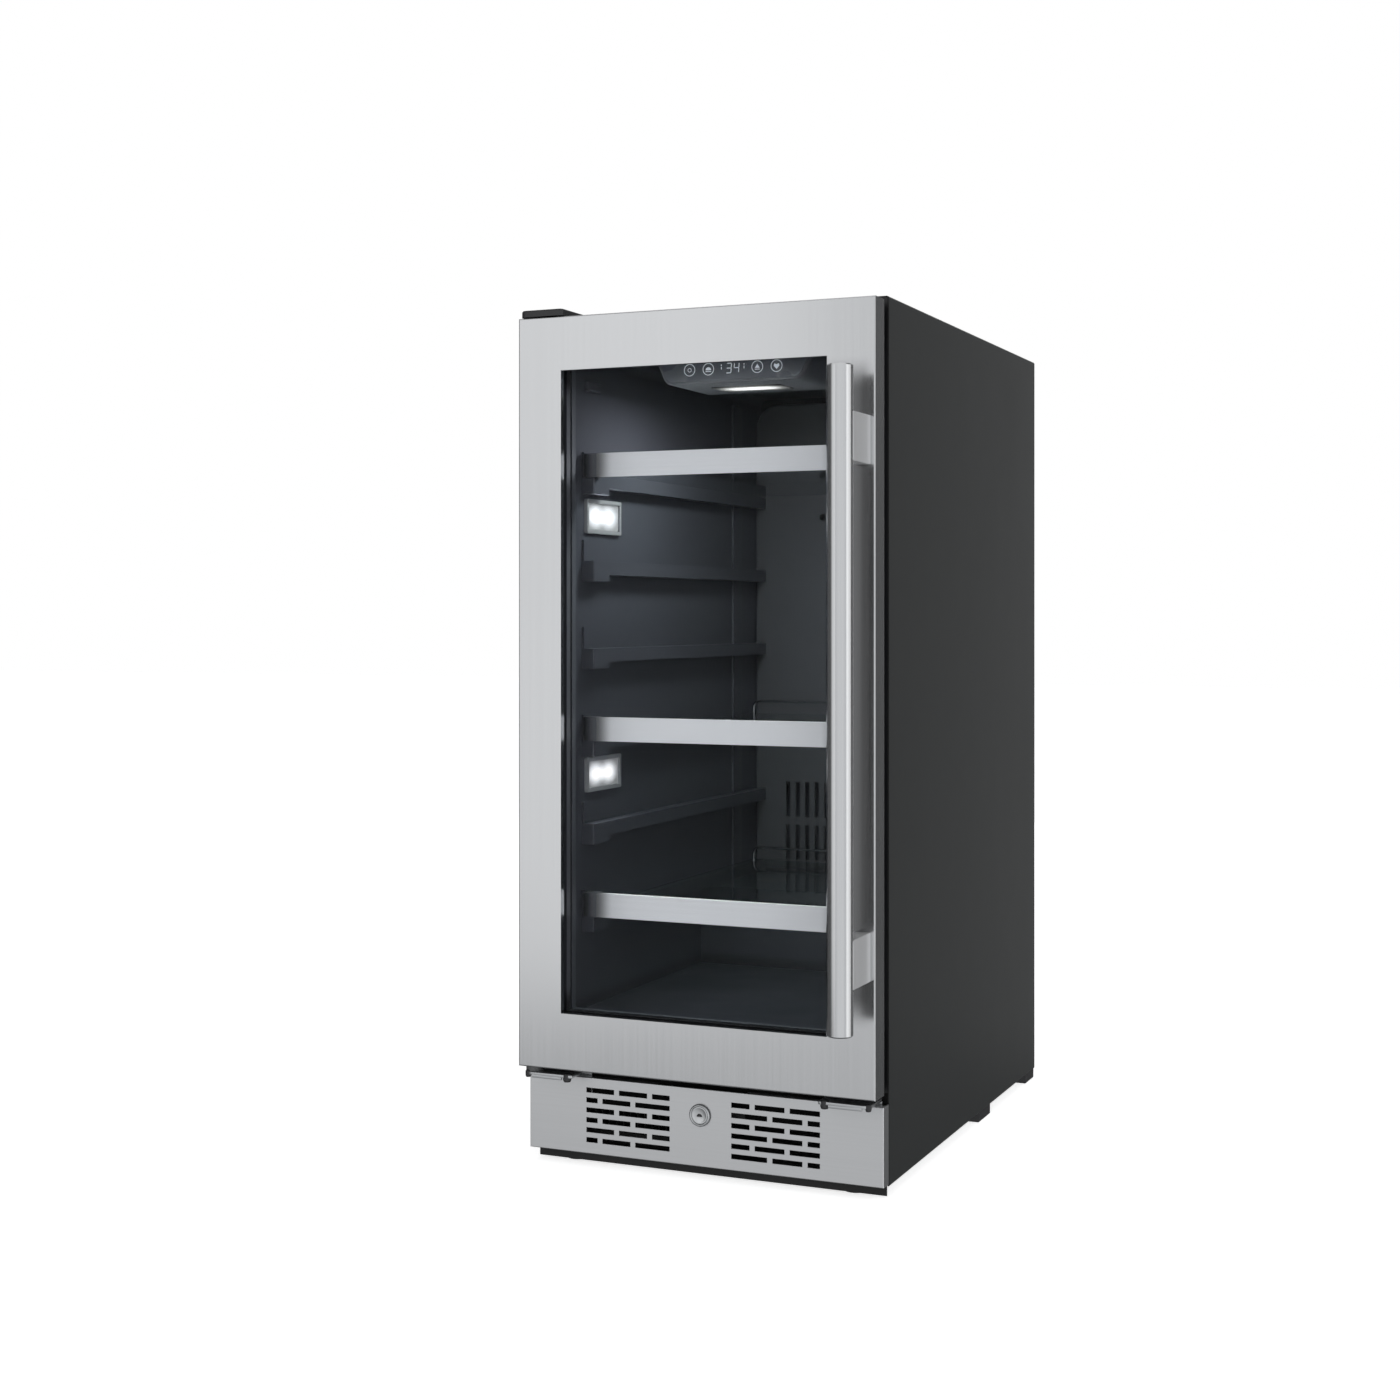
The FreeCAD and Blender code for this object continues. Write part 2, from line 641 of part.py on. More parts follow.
def make_lock():
    """A cam lock in the kick plate: housing, turning cylinder and cam, and its keeper on the door."""
    kick = face + d.to_kick
    centre = (0, d.lock_z)
    ring_front = kick - d.lock_stand
    sleeve_end = kick + d.lock_sleeve
    body = fuse(
        "lock_solid",
        [
            cylinder("lock_ring", "y", centre, d.lock_ring_dia, (ring_front, kick)),
            cylinder("lock_sleeve", "y", centre, d.lock_sleeve_dia, (kick, sleeve_end)),
        ],
    )
    bore = cylinder(
        "lock_bore",
        "y",
        centre,
        d.lock_core_dia + d.lock_air * 2,
        (ring_front - d.lock_stand, sleeve_end + d.lock_stand),
    )
    keep(cut("lock_bored", body, [bore]), "lock_housing")

    core_front = kick - d.lock_face
    tail = between(0, d.lock_tail / 2)
    core = fuse(
        "core_solid",
        [
            cylinder("core", "y", centre, d.lock_core_dia, (core_front, sleeve_end)),
            box(
                "core_tail",
                tail,
                (sleeve_end, sleeve_end + d.tail_length),
                between(d.lock_z, d.lock_tail / 2),
            ),
        ],
    )
    keyway = box(
        "keyway",
        between(0, d.key_wide / 2),
        (core_front - d.key_deep, core_front + d.key_deep),
        between(d.lock_z, d.key_tall / 2),
    )
    keep(cut("core_cut", core, [keyway]), "lock_cylinder")

    cam_span = (sleeve_end + d.cam_gap, sleeve_end + d.cam_gap + d.cam_thick)
    cam = fuse(
        "cam_solid",
        [
            cylinder("cam_eye", "y", centre, d.cam_wide, cam_span),
            box(
                "cam_arm",
                (0, d.cam_long - d.cam_wide / 2),
                cam_span,
                between(d.lock_z, d.cam_wide / 2),
            ),
            cylinder(
                "cam_tip", "y", (d.cam_long - d.cam_wide / 2, d.lock_z), d.cam_wide, cam_span
            ),
        ],
    )
    square = box(
        "cam_square",
        tail,
        (sleeve_end, sleeve_end + d.tail_length),
        between(d.lock_z, d.lock_tail / 2),
    )
    keep(cut("cam_cut", cam, [square]), "lock_cam")

    strike_front = face + d.liner_back_face
    block = box(
        "strike_block",
        (-d.strike_left, d.strike_right),
        (strike_front, strike_front + d.strike_deep),
        (d.strike_low, d.strike_top),
    )
    slot = box(
        "strike_slot",
        (-d.strike_slot_left, d.strike_right + d.strike_air),
        (cam_span[0] - d.strike_air, cam_span[1] + d.strike_air),
        (d.strike_low - d.strike_air, d.strike_slot_top),
    )
    keep(cut("strike_cut", block, [slot]), "lock_strike")


# ---- hinges -------------------------------------------------------------------------------------


def bracket_screws(name):
    """The shanks that hold the two lower brackets to the front rail."""
    shanks = []
    for side in (-1, 1):
        for place in (d.hinge_plate_outer - d.hinge_corner * 2, d.stud_x + d.stud_dia / 2):
            shanks.append(
                cylinder(
                    name,
                    "y",
                    (place * side, (d.hinge_tab_low + d.hinge_plate_low) / 2),
                    d.screw_dia,
                    (cabinet - d.hinge_tab, cabinet + d.rail_sheet),
                )
            )
    return shanks


def top_screw_places():
    """Where the upper bracket is screwed to the cabinet's top."""
    across = (d.top_plate_outer - d.hinge_corner, d.top_plate_inner + d.hinge_corner)
    return [(-x, face + d.to_top_plate_end - d.hinge_corner) for x in across]


def top_screw_holes(name):
    """The shanks of the upper bracket's screws, through the bracket and the cabinet's sheet."""
    span = (d.cabinet_top - d.sheet_steel, d.cabinet_top + d.top_plate)
    return [
        cylinder(f"{name}_top_hole", "z", place, d.screw_dia, span) for place in top_screw_places()
    ]


def make_lower_brackets():
    """The lower hinge bracket on the left, and its mirror image for a door hung the other way."""
    brackets = []
    for side in (-1, 1):
        across = sorted((d.hinge_plate_outer * side, d.hinge_plate_inner * side), key=number_of)
        front = face + d.to_hinge_front
        plate_top = d.hinge_plate_low + d.hinge_plate
        plate = box("bracket_plate", across, (front, cabinet), (d.hinge_plate_low, plate_top))
        outer_corner = d.hinge_plate_outer * side
        plate = rounded(
            "bracket_corner",
            plate,
            d.hinge_corner,
            lambda a, b: along(a, b, "z") and near(a.x, outer_corner) and near(a.y, front),
        )
        lip_span = sorted(
            ((d.hinge_plate_outer - d.hinge_corner) * side, d.hinge_plate_inner * side),
            key=number_of,
        )
        lip = box(
            "bracket_lip", lip_span, (front, front + d.hinge_lip), (d.hinge_lip_low, plate_top)
        )
        tab = box(
            "bracket_tab",
            across,
            (cabinet - d.hinge_tab, cabinet),
            (d.hinge_tab_low, plate_top),
        )
        stud = cylinder(
            "bracket_stud", "z", (d.stud_x * side, hinge_y), d.stud_dia, (d.stud_low, plate_top)
        )
        brackets.append(fuse("bracket_solid", [plate, lip, tab, stud]))
    holes = bracket_screws("bracket_hole")
    for side in (-1, 1):
        holes.append(
            cylinder(
                "bracket_pin_hole",
                "z",
                (d.hinge_x * side, hinge_y),
                d.pin_dia,
                (d.hinge_plate_low - d.seam, d.hinge_plate_low + d.hinge_plate + d.seam),
            )
        )
    keep(cut("brackets_drilled", fuse("brackets", brackets), holes), "lower_hinge_brackets")


def make_upper_hinge():
    """The upper hinge plate on the cabinet's top and the cover over it."""
    plate = box(
        "top_plate",
        (-d.top_plate_outer, -d.top_plate_inner),
        (face + d.to_top_plate, face + d.to_top_plate_end),
        (d.cabinet_top, d.cabinet_top + d.top_plate),
    )
    pin_hole = cylinder(
        "top_pin_hole",
        "z",
        (-d.hinge_x, hinge_y),
        d.pin_dia,
        (d.cabinet_top - d.seam, d.cabinet_top + d.top_plate + d.seam),
    )
    keep(cut("top_plate_cut", plate, [pin_hole] + top_screw_holes("plate")), "upper_hinge_bracket")

    across = (-d.cover_outer, -d.cover_inner)
    upper = box(
        "cover_upper",
        across,
        (face + d.to_cover, face + d.to_cover_end),
        (d.cabinet_top, d.cover_top),
    )
    lower = box(
        "cover_lower",
        across,
        (face + d.to_cover, cabinet - d.seam),
        (d.cover_low, d.cabinet_top),
    )
    shell = rounded(
        "cover_round",
        fuse("cover_solid", [upper, lower]),
        d.cover_round,
        lambda a, b: (along(a, b, "z") and near(a.y, face + d.to_cover))
        or (near(a.z, d.cover_top) and near(b.z, d.cover_top)),
    )
    wall = d.cover_wall
    hollow = box(
        "cover_hollow",
        (-d.cover_outer + wall, -d.cover_inner - wall),
        (face + d.to_cover + wall, face + d.to_cover_end - wall),
        (d.cover_low - wall, d.cover_top - wall),
    )
    keep(cut("cover_shell", shell, [hollow]), "upper_hinge_cover")


def make_hinge_pins():
    """The two pins that the door turns on, fixed in the brackets."""
    centre = (-d.hinge_x, hinge_y)
    lower_top = d.door_bottom + d.bush_deep - d.bush_cap
    upper_low = d.door_top - d.bush_deep + d.bush_cap
    keep(
        fuse(
            "pins",
            [
                cylinder("pin_low", "z", centre, d.pin_dia, (d.hinge_plate_low, lower_top)),
                cylinder(
                    "pin_high", "z", centre, d.pin_dia, (upper_low, d.cabinet_top + d.top_plate)
                ),
            ],
        ),
        "hinge_pins",
    )


def make_hinge_screws():
    """Pan-head screws of the three brackets."""
    screws = []
    shank_tops = zip(top_screw_places(), top_screw_holes("screw"))
    plate_top = d.cabinet_top + d.top_plate
    for place, shank in shank_tops:
        head = cylinder("top_head", "z", place, d.screw_head, (plate_top, plate_top + d.head_tall))
        screws.append(fuse("top_screw", [shank, head]))
    seat = cabinet - d.hinge_tab
    for shank in bracket_screws("screw_shank"):
        document.recompute()
        middle = shank.Shape.BoundBox.Center
        head = document.addObject("Part::Cylinder", "bracket_head")
        head.Placement = Placement(Vector(middle.x, 0, middle.z), TURNS["y"])
        head.setExpression("Radius", (d.screw_head / 2).text)
        head.setExpression("Height", d.head_tall.text)
        head.setExpression(".Placement.Base.y", (seat - d.head_tall).text)
        screws.append(fuse("bracket_screw", [shank, head]))
    keep(fuse("screws", screws), "hinge_screws")


# ---- door ---------------------------------------------------------------------------------------


def grown_window(grow):
    """The window's half width, low and high edge, grown on every side."""
    return (d.window_half + grow, d.window_bottom - grow, d.window_top + grow)


def seen_opening():
    """The opening behind the window: smaller by what shows of the spacer, and clear at the top."""
    reach, low, high = grown_window(-d.spacer_show)
    return (reach, low, high + d.top_clear)


def door_inset(inset):
    """The door's half width, low and high edge, taken in on every side."""
    return (half - inset, d.door_bottom + inset, d.door_top - inset)


def bush_tools(name, diameter):
    """Bars on the hinge axis through the door's top and bottom edges."""
    centre = (-d.hinge_x, hinge_y)
    low = (d.door_bottom - d.door_skin, d.door_bottom + d.bush_deep)
    high = (d.door_top - d.bush_deep, d.door_top + d.door_skin)
    return [cylinder(name, "z", centre, diameter, span) for span in (low, high)]


def make_door_frame():
    """The steel skin: a front ring, the outer walls and the short return at the window."""
    skin = face + d.door_skin
    body = new_body("frame_body")
    ring(body, door_inset(size(0)), grown_window(size(0)), (face, skin))
    ring(body, door_inset(size(0)), door_inset(d.door_skin), (skin, face + d.door_depth))
    ring(body, grown_window(d.door_skin), grown_window(size(0)), (skin, face + d.reveal))
    eased = rounded(
        "frame_eased",
        body,
        d.door_round,
        lambda a, b: near(abs(a.x), half) and near(a.y, face) and near(b.y, face),
    )
    keep(cut("frame_drilled", eased, bush_tools("frame_bush", d.bush_dia)), "door_frame")


def make_door_core():
    """The foamed filling of the frame, stepped back where the panes sit."""
    body = new_body("core_body")
    outer = door_inset(d.door_skin + d.seam)
    seat = face + d.reveal
    rear = face + d.reveal + d.pane * 2 + d.pane_gap
    ring(body, outer, grown_window(d.door_skin + d.seam), (face + d.door_skin + d.foam_lap, seat))
    ring(body, outer, grown_window(d.pane_lap + d.seam), (seat, rear))
    keep(cut("core_drilled", body, bush_tools("core_bush", d.bush_dia + d.seam)), "door_core")


def make_door_inner_frame():
    """The plastic frame on the door's inside that holds the panes and the gasket."""
    body = new_body("inner_frame_body")
    rear = face + d.reveal + d.pane * 2 + d.pane_gap
    ring(
        body,
        door_inset(d.frame_inset),
        seen_opening(),
        (rear, face + d.liner_back_face),
    )
    keep(body, "door_inner_frame")


def make_panes():
    """Two panes with a spacer between them."""
    reach, low, high = grown_window(d.pane_lap)
    first = face + d.reveal
    second = first + d.pane + d.pane_gap
    panes = [
        box("pane", (-reach, reach), (front, front + d.pane), (low, high))
        for front in (first, second)
    ]
    keep(fuse("panes", panes), "door_glass")
    body = new_body("spacer_body")
    ring(body, grown_window(d.pane_lap), seen_opening(), (first + d.pane, second))
    keep(body, "glass_spacer")


def make_gasket():
    """The magnetic seal: a narrow root and a wider bulb that stops just short of the cabinet."""
    body = new_body("gasket_body")
    seat = face + d.liner_back_face
    root_end = seat + d.gasket_root
    reach = (d.gasket_half, d.gasket_bottom, d.gasket_top)

    def inset(amount):
        return (reach[0] - amount, reach[1] + amount, reach[2] - amount)

    ring(body, inset(d.gasket_step), inset(d.gasket_wide - d.gasket_step), (seat, root_end))
    ring(body, reach, inset(d.gasket_wide), (root_end, cabinet - d.gasket_air))
    eased = rounded(
        "gasket_eased",
        body,
        d.gasket_round,
        lambda a, b: near(a.y, cabinet - d.gasket_air) and near(b.y, cabinet - d.gasket_air),
    )
    keep(eased, "door_gasket")


def make_handle():
    """A round bar on two blocks; the blocks are hollowed to the bar."""
    axis = (d.handle_x, face - d.handle_gap - d.handle_dia / 2)
    body = new_body("handle_body")
    sketch = sketch_on(body, "XY_Plane", d.handle_bottom)
    centre = Vector(axis[0].number, axis[1].number, 0)
    sketch.addGeometry(Part.Circle(centre, Vector(0, 0, 1), d.handle_dia.number / 2))
    bound = (
        (Sketcher.Constraint("DistanceX", -1, 1, 0, 3, axis[0].number), axis[0]),
        (Sketcher.Constraint("DistanceY", -1, 1, 0, 3, axis[1].number), axis[1]),
        (Sketcher.Constraint("Diameter", 0, d.handle_dia.number), d.handle_dia),
    )
    for constraint, place in bound:
        number = sketch.addConstraint(constraint)
        sketch.setExpression(f"Constraints[{number}]", place.text)
    bar = pad(body, sketch, d.handle_top - d.handle_bottom)
    document.recompute()
    chamfer = body.newObject("PartDesign::Chamfer", "handle_ends")
    rims = [f"Edge{n}" for n, e in enumerate(bar.Shape.Edges, start=1) if len(e.Vertexes) == 1]
    chamfer.Base = (bar, rims)
    chamfer.setExpression("Size", d.handle_chamfer.text)
    body.Tip = chamfer
    keep(body, "handle_tube")

    blocks = []
    right = d.handle_x + d.handle_dia / 2
    for side in (-1, 1):
        middle = d.bracket_mid + d.bracket_offset * side
        block = box(
            "handle_block",
            (right - d.bracket_wide, right),
            (axis[1], face),
            between(middle, d.bracket_tall / 2),
        )
        blocks.append(
            rounded("handle_block_round", block, d.bracket_round, lambda a, b: along(a, b, "y"))
        )
    bore = cylinder("handle_bore", "z", axis, d.handle_dia, (d.handle_bottom, d.handle_top))
    keep(cut("handle_blocks_cut", fuse("handle_blocks", blocks), [bore]), "handle_brackets")


def make_bushes():
    """Plastic bushes in the door's top and bottom edges; the lower one's flange carries the door."""
    centre = (-d.hinge_x, hinge_y)
    bracket_top = d.hinge_plate_low + d.hinge_plate
    bore = d.pin_dia + d.pin_air * 2
    solids = [
        cylinder("bush_low", "z", centre, d.bush_dia, (d.door_bottom, d.door_bottom + d.bush_deep)),
        cylinder("thrust_flange", "z", centre, d.bush_flange, (bracket_top + d.pin_air, d.door_bottom)),
        cylinder("bush_high", "z", centre, d.bush_dia, (d.door_top - d.bush_deep, d.door_top)),
        cylinder("cap_flange", "z", centre, d.bush_flange, (d.door_top, d.door_top + d.bush_cap)),
    ]
    hole = cylinder("bush_bore", "z", centre, bore, (bracket_top - d.seam, d.cabinet_top))
    keep(cut("bushes_bored", fuse("bushes_solid", solids), [hole]), "door_bushes")


# ---- inside the storage space -------------------------------------------------------------------


def make_shelf_rails():
    """Six pairs of ledges with a deeper nose and a low stop post at the front."""
    rails = []
    front = face + d.to_rail
    for level in levels:
        top = level + d.rail_above
        for side in (-1, 1):
            across = sorted((d.rail_inner * side, d.liner_half * side), key=number_of)
            post = sorted(
                (d.liner_half * side, (d.liner_half - d.post_thick) * side), key=number_of
            )
            ledge = box("ledge", across, (front, face + d.to_rail_end), (level - d.rail_below, top))
            nose_low = level - d.rail_below - d.nose_drop
            nose = box("nose", across, (front, front + d.rail_nose), (nose_low, top))
            stop = box("stop_post", post, (front, front + d.post_long), (top, top + d.post_tall))
            joined = fuse("rail_solid", [ledge, nose, stop])
            edge = d.rail_inner * side
            rails.append(
                rounded(
                    "rail_round",
                    joined,
                    d.duct_wall,
                    lambda a, b: along(a, b, "z") and near(a.x, edge) and near(a.y, front),
                )
            )
    keep(fuse("all_rails", rails), "shelf_rails")


def make_shelf(number, level):
    """A glass plate with a steel front trim, two end caps and a wire across the back."""
    glass_low = level + d.rail_above
    glass_top = glass_low + d.shelf_glass
    front = face + d.to_shelf
    behind = front + d.trim_sheet
    glass_span = (behind + d.seam, face + d.to_glass_end)
    plate = box(
        f"glass_{number}", (-d.shelf_half, d.shelf_half), glass_span, (glass_low, glass_top)
    )
    keep(plate, f"shelf_{number}_glass")

    low = level - d.trim_drop
    high = low + d.trim_tall
    gauge = d.trim_sheet
    body = new_body(f"trim_{number}_body")
    sketch = sketch_on(body, "YZ_Plane", -d.trim_half)
    outline(
        sketch,
        [
            (front, low), (behind, low),
            (behind, glass_low - gauge), (behind + d.trim_lower, glass_low - gauge),
            (behind + d.trim_lower, glass_low), (behind, glass_low),
            (behind, glass_top), (behind + d.trim_upper, glass_top),
            (behind + d.trim_upper, glass_top + gauge), (behind, glass_top + gauge),
            (behind, high - gauge), (behind + d.trim_return, high - gauge),
            (behind + d.trim_return, high), (front, high),
        ],
    )
    pad(body, sketch, d.trim_half * 2)
    keep(body, f"shelf_{number}_trim")

    caps = []
    cap_front = front - d.cap_proud
    for side in (-1, 1):
        across = sorted((d.trim_half * side, d.cap_outer * side), key=number_of)
        edge = d.cap_outer * side
        solid = box(f"cap_{number}", across, (cap_front, cap_front + d.cap_deep), (low, high))
        solid = rounded(
            f"cap_{number}_round",
            solid,
            d.cap_round,
            lambda a, b: along(a, b, "z") and near(a.x, edge) and near(a.y, cap_front),
        )
        beyond = sorted(((d.rail_inner - d.cap_air) * side, half * side), key=number_of)
        ledge_room = box(
            f"cap_{number}_room",
            beyond,
            (face + d.to_rail - d.cap_air, cap_front + d.cap_deep * 2),
            (low - d.cap_air, glass_low),
        )
        slot = box(
            f"cap_{number}_slot",
            sorted((size(0) * side, d.shelf_half * side), key=number_of),
            (behind + d.seam, cap_front + d.cap_deep * 2),
            (glass_low, glass_top),
        )
        caps.append(cut(f"cap_{number}_cut", solid, [ledge_room, slot]))
    keep(fuse(f"caps_{number}", caps), f"shelf_{number}_end_caps")

    wire_y = face + d.to_glass_end - d.wire_inset
    wire_z = high - d.wire_dia / 2
    reach = d.wire_half
    route = [
        (-reach, wire_y, glass_top), (-reach, wire_y, wire_z),
        (reach, wire_y, wire_z), (reach, wire_y, glass_top),
    ]
    pipe(f"shelf_{number}_guard_wire", [route], d.wire_dia, d.wire_bend)


def make_duct_cover():
    """The moulded cover over the evaporator, with intake slots low down and outlets high up."""
    front = face + d.to_duct
    rear = face + d.to_duct_end
    solid = box("duct_solid", (-d.duct_half, d.duct_half), (front, rear), (d.duct_low, d.duct_top))
    solid = rounded(
        "duct_corners",
        solid,
        d.duct_corner,
        lambda a, b: along(a, b, "y") and near(a.z, d.duct_top),
    )
    solid = rounded(
        "duct_edges", solid, d.duct_edge, lambda a, b: near(a.y, front) and near(b.y, front)
    )
    wall = d.duct_wall
    hollow = box(
        "duct_hollow",
        (-d.duct_half + wall, d.duct_half - wall),
        (front + wall, rear + wall),
        (d.duct_low + wall, d.duct_top - wall),
    )
    hollow = rounded(
        "duct_hollow_corners",
        hollow,
        d.duct_corner - wall,
        lambda a, b: along(a, b, "y") and near(a.z, d.duct_top - wall),
    )
    through = (front - wall, front + wall * 2)
    holes = []
    for n in range(VENTS):
        middle = d.vent_pitch * (n - (VENTS - 1) / 2)
        for low in (d.vent_low, d.vent_high):
            span = between(middle, d.vent_wide / 2)
            holes.append(box("vent", span, through, (low, low + d.vent_tall)))
    for side in (-1, 1):
        holes.append(
            cylinder("outlet", "y", (d.outlet_x * side, d.outlet_z), d.outlet_dia, through)
        )
        holes.append(cylinder("port", "y", (d.port_x * side, d.port_z), d.port_dia, through))
    keep(cut("duct_cut", solid, [hollow] + holes), "air_duct_cover")


def make_evaporator():
    """A finned coil behind the duct cover."""
    y = (face + d.to_coil, face + d.to_coil + d.coil_deep)
    middle = face + d.to_coil + d.coil_deep / 2
    pieces = []
    for n in range(COIL_FINS):
        low = d.coil_low + d.coil_pitch * n
        pieces.append(box("coil_fin", (-d.coil_half, d.coil_half), y, (low, low + d.fin_thick)))
    span = (d.coil_low, d.coil_low + d.coil_pitch * (COIL_FINS - 1) + d.fin_thick)
    for n in range(COIL_RUNS):
        x = d.coil_half * (n * 2 - COIL_RUNS + 1) / COIL_RUNS
        pieces.append(cylinder("coil_run", "z", (x, middle), d.coil_tube, span))
    keep(fuse("coil", pieces), "evaporator")


def make_fan(label, x, z, y, diameter, blade_wide):
    """A hub with pitched blades on a shaft along Y."""
    hub_span = (size(y), size(y) + d.fan_deep)
    pieces = [cylinder(f"{label}_hub", "y", (x, z), d.fan_hub, hub_span)]
    root = d.fan_hub.number / 2 - d.blade_thick.number
    middle = Vector(size(x).number, (size(y) + d.fan_deep / 2).number, size(z).number)
    for n in range(BLADES):
        blade = document.addObject("Part::Box", f"{label}_blade")
        blade.setExpression("Length", (size(diameter) / 2 - d.fan_hub / 2).text)
        blade.setExpression("Width", size(blade_wide).text)
        blade.setExpression("Height", d.blade_thick.text)
        pitch = Rotation(Vector(1, 0, 0), BLADE_PITCH)
        turn = Rotation(Vector(0, 1, 0), 360 * n / BLADES)
        corner = Vector(root, -size(blade_wide).number / 2, -d.blade_thick.number / 2)
        pitched = Placement(Vector(), pitch).multiply(Placement(corner, Rotation()))
        blade.Placement = Placement(middle, turn).multiply(pitched)
        pieces.append(blade)
    bore = cylinder(
        f"{label}_bore",
        "y",
        (x, z),
        d.shaft_dia + d.shaft_air * 2,
        (size(y) - d.fan_deep, size(y) + d.fan_deep * 2),
    )
    keep(cut(f"{label}_bored", fuse(f"{label}_solid", pieces), [bore]), label)


def make_motor(name, x, z, fan_y, depth):
    """A round motor behind a fan, with its shaft through the hub."""
    seat = size(fan_y) + d.fan_deep + d.motor_air
    return [
        cylinder(f"{name}_can", "y", (x, z), d.motor_dia, (seat, seat + depth)),
        cylinder(f"{name}_shaft", "y", (x, z), d.shaft_dia, (size(fan_y) + d.seam, seat)),
    ]


def make_fans():
    """The evaporator fan behind the duct cover and the condenser fan under the deck."""
    inner_y = face + d.to_fan
    outer_y = face + d.to_cond_fan
    make_fan("evaporator_fan", size(0), d.fan_z, inner_y, d.fan_dia, d.blade_wide)
    make_fan("condenser_fan", -d.cond_fan_x, d.cond_fan_z, outer_y, d.cond_fan_dia, d.cond_blade)
    seat = outer_y + d.fan_deep + d.motor_air + d.cond_motor_deep
    arm = box(
        "motor_arm",
        between(-d.cond_fan_x, d.arm_wide / 2),
        (seat, seat + d.arm_thick),
        (pan_top, d.cond_fan_z + d.motor_dia / 2),
    )
    inner = fuse("inner_motor", make_motor("inner", size(0), d.fan_z, inner_y, d.motor_deep))
    outer_parts = make_motor("outer", -d.cond_fan_x, d.cond_fan_z, outer_y, d.cond_motor_deep)
    outer = fuse("outer_motor", outer_parts + [arm])
    keep(fuse("motors", [inner, outer]), "fan_motors")


def wedge(name, halves, y_low, depths, z):
    """A block that narrows downwards: half widths and depths are given at the top, then below."""
    block = document.addObject("Part::Wedge", name)
    block.Placement = Placement(Vector(), Rotation(Vector(1, 0, 0), 90))
    low, high = z
    spans = {
        "Xmin": -size(halves[1]), "Xmax": size(halves[1]),
        "X2min": -size(halves[0]), "X2max": size(halves[0]),
        "Ymin": size(0), "Ymax": size(high) - low,
        "Zmin": -size(depths[1]), "Zmax": size(0),
        "Z2min": -size(depths[0]), "Z2max": size(0),
    }
    for name_of_side, value in spans.items():
        block.setExpression(name_of_side, value.text)
    block.setExpression(".Placement.Base.y", size(y_low).text)
    block.setExpression(".Placement.Base.z", size(low).text)
    return block


def make_controls():
    """The pod under the ceiling: housing, touch glass, circuit board and lamp lens."""
    z = (d.pod_low, d.liner_ceiling)
    front = face + d.to_pod
    halves = (d.pod_half_top, d.pod_half_low)
    glass = wedge("pod_glass_plate", halves, front, (d.pod_glass, d.pod_glass), z)
    keep(glass, "touch_panel")
    behind = front + d.pod_glass
    solid = wedge("pod_solid", halves, behind, (d.pod_deep_top, d.pod_deep_low), z)
    cavity = box(
        "pod_cavity",
        between(0, d.pod_cavity_half),
        (behind + d.pod_floor, behind + d.pod_floor + d.pod_cavity_deep),
        (d.pod_low + d.pod_floor, d.liner_ceiling + d.pod_floor),
    )
    lamp_y = between(face + d.to_lamp, d.lamp_half_deep)
    window = box(
        "lamp_window",
        between(0, d.lamp_half),
        lamp_y,
        (d.pod_low - d.pod_floor, d.pod_low + d.pod_floor),
    )
    keep(cut("pod_cut", solid, [cavity, window]), "control_housing")
    board = box(
        "board",
        between(0, d.board_half),
        (behind + d.pod_floor * 2, behind + d.pod_floor * 2 + d.board_deep),
        (d.board_z, d.board_z + d.board_thick),
    )
    keep(board, "control_board")
    lens = box(
        "lamp_lens",
        between(0, d.lamp_half),
        lamp_y,
        (d.pod_low - d.lamp_proud, d.pod_low + d.pod_floor),
    )
    under = d.pod_low - d.lamp_proud
    eased = rounded(
        "lamp_lens_round",
        lens,
        d.lamp_proud / 2,
        lambda a, b: near(a.z, under) and near(b.z, under),
    )
    keep(eased, "ceiling_light_lens")


def make_side_lights():
    """Two lamps on the left wall, each a rimmed bezel with a lens."""
    bezels = []
    lenses = []
    wall = -d.liner_half
    for low in (d.side_lamp_low, d.side_lamp_high):
        y = (face + d.to_side_lamp, face + d.to_side_lamp + d.side_lamp_long)
        z = (low, low + d.side_lamp_tall)
        inner_y = (y[0] + d.bezel_rim, y[1] - d.bezel_rim)
        inner_z = (z[0] + d.bezel_rim, z[1] - d.bezel_rim)
        rim = box("bezel_solid", (wall, wall + d.bezel_deep), y, z)
        rim = rounded("bezel_round", rim, d.bezel_rim / 2, lambda a, b: along(a, b, "x"))
        hole = box("bezel_hole", (wall - d.seam, wall + d.bezel_deep * 2), inner_y, inner_z)
        bezels.append(cut("bezel_cut", rim, [hole]))
        lenses.append(box("side_lens", (wall, wall + d.side_lens_deep), inner_y, inner_z))
    keep(fuse("bezels", bezels), "side_light_bezels")
    keep(fuse("lenses", lenses), "side_light_lenses")
    cap = box(
        "sensor_solid",
        (wall, wall + d.cap_thick),
        (face + d.to_cap, face + d.to_cap + d.cap_long),
        between(d.cap_z, d.cap_tall / 2),
    )
    outer = wall + d.cap_thick
    keep(
        rounded("sensor_round", cap, d.cap_edge, lambda a, b: near(a.x, outer) and near(b.x, outer)),
        "sensor_cap",
    )


# ---- machine compartment ------------------------------------------------------------------------


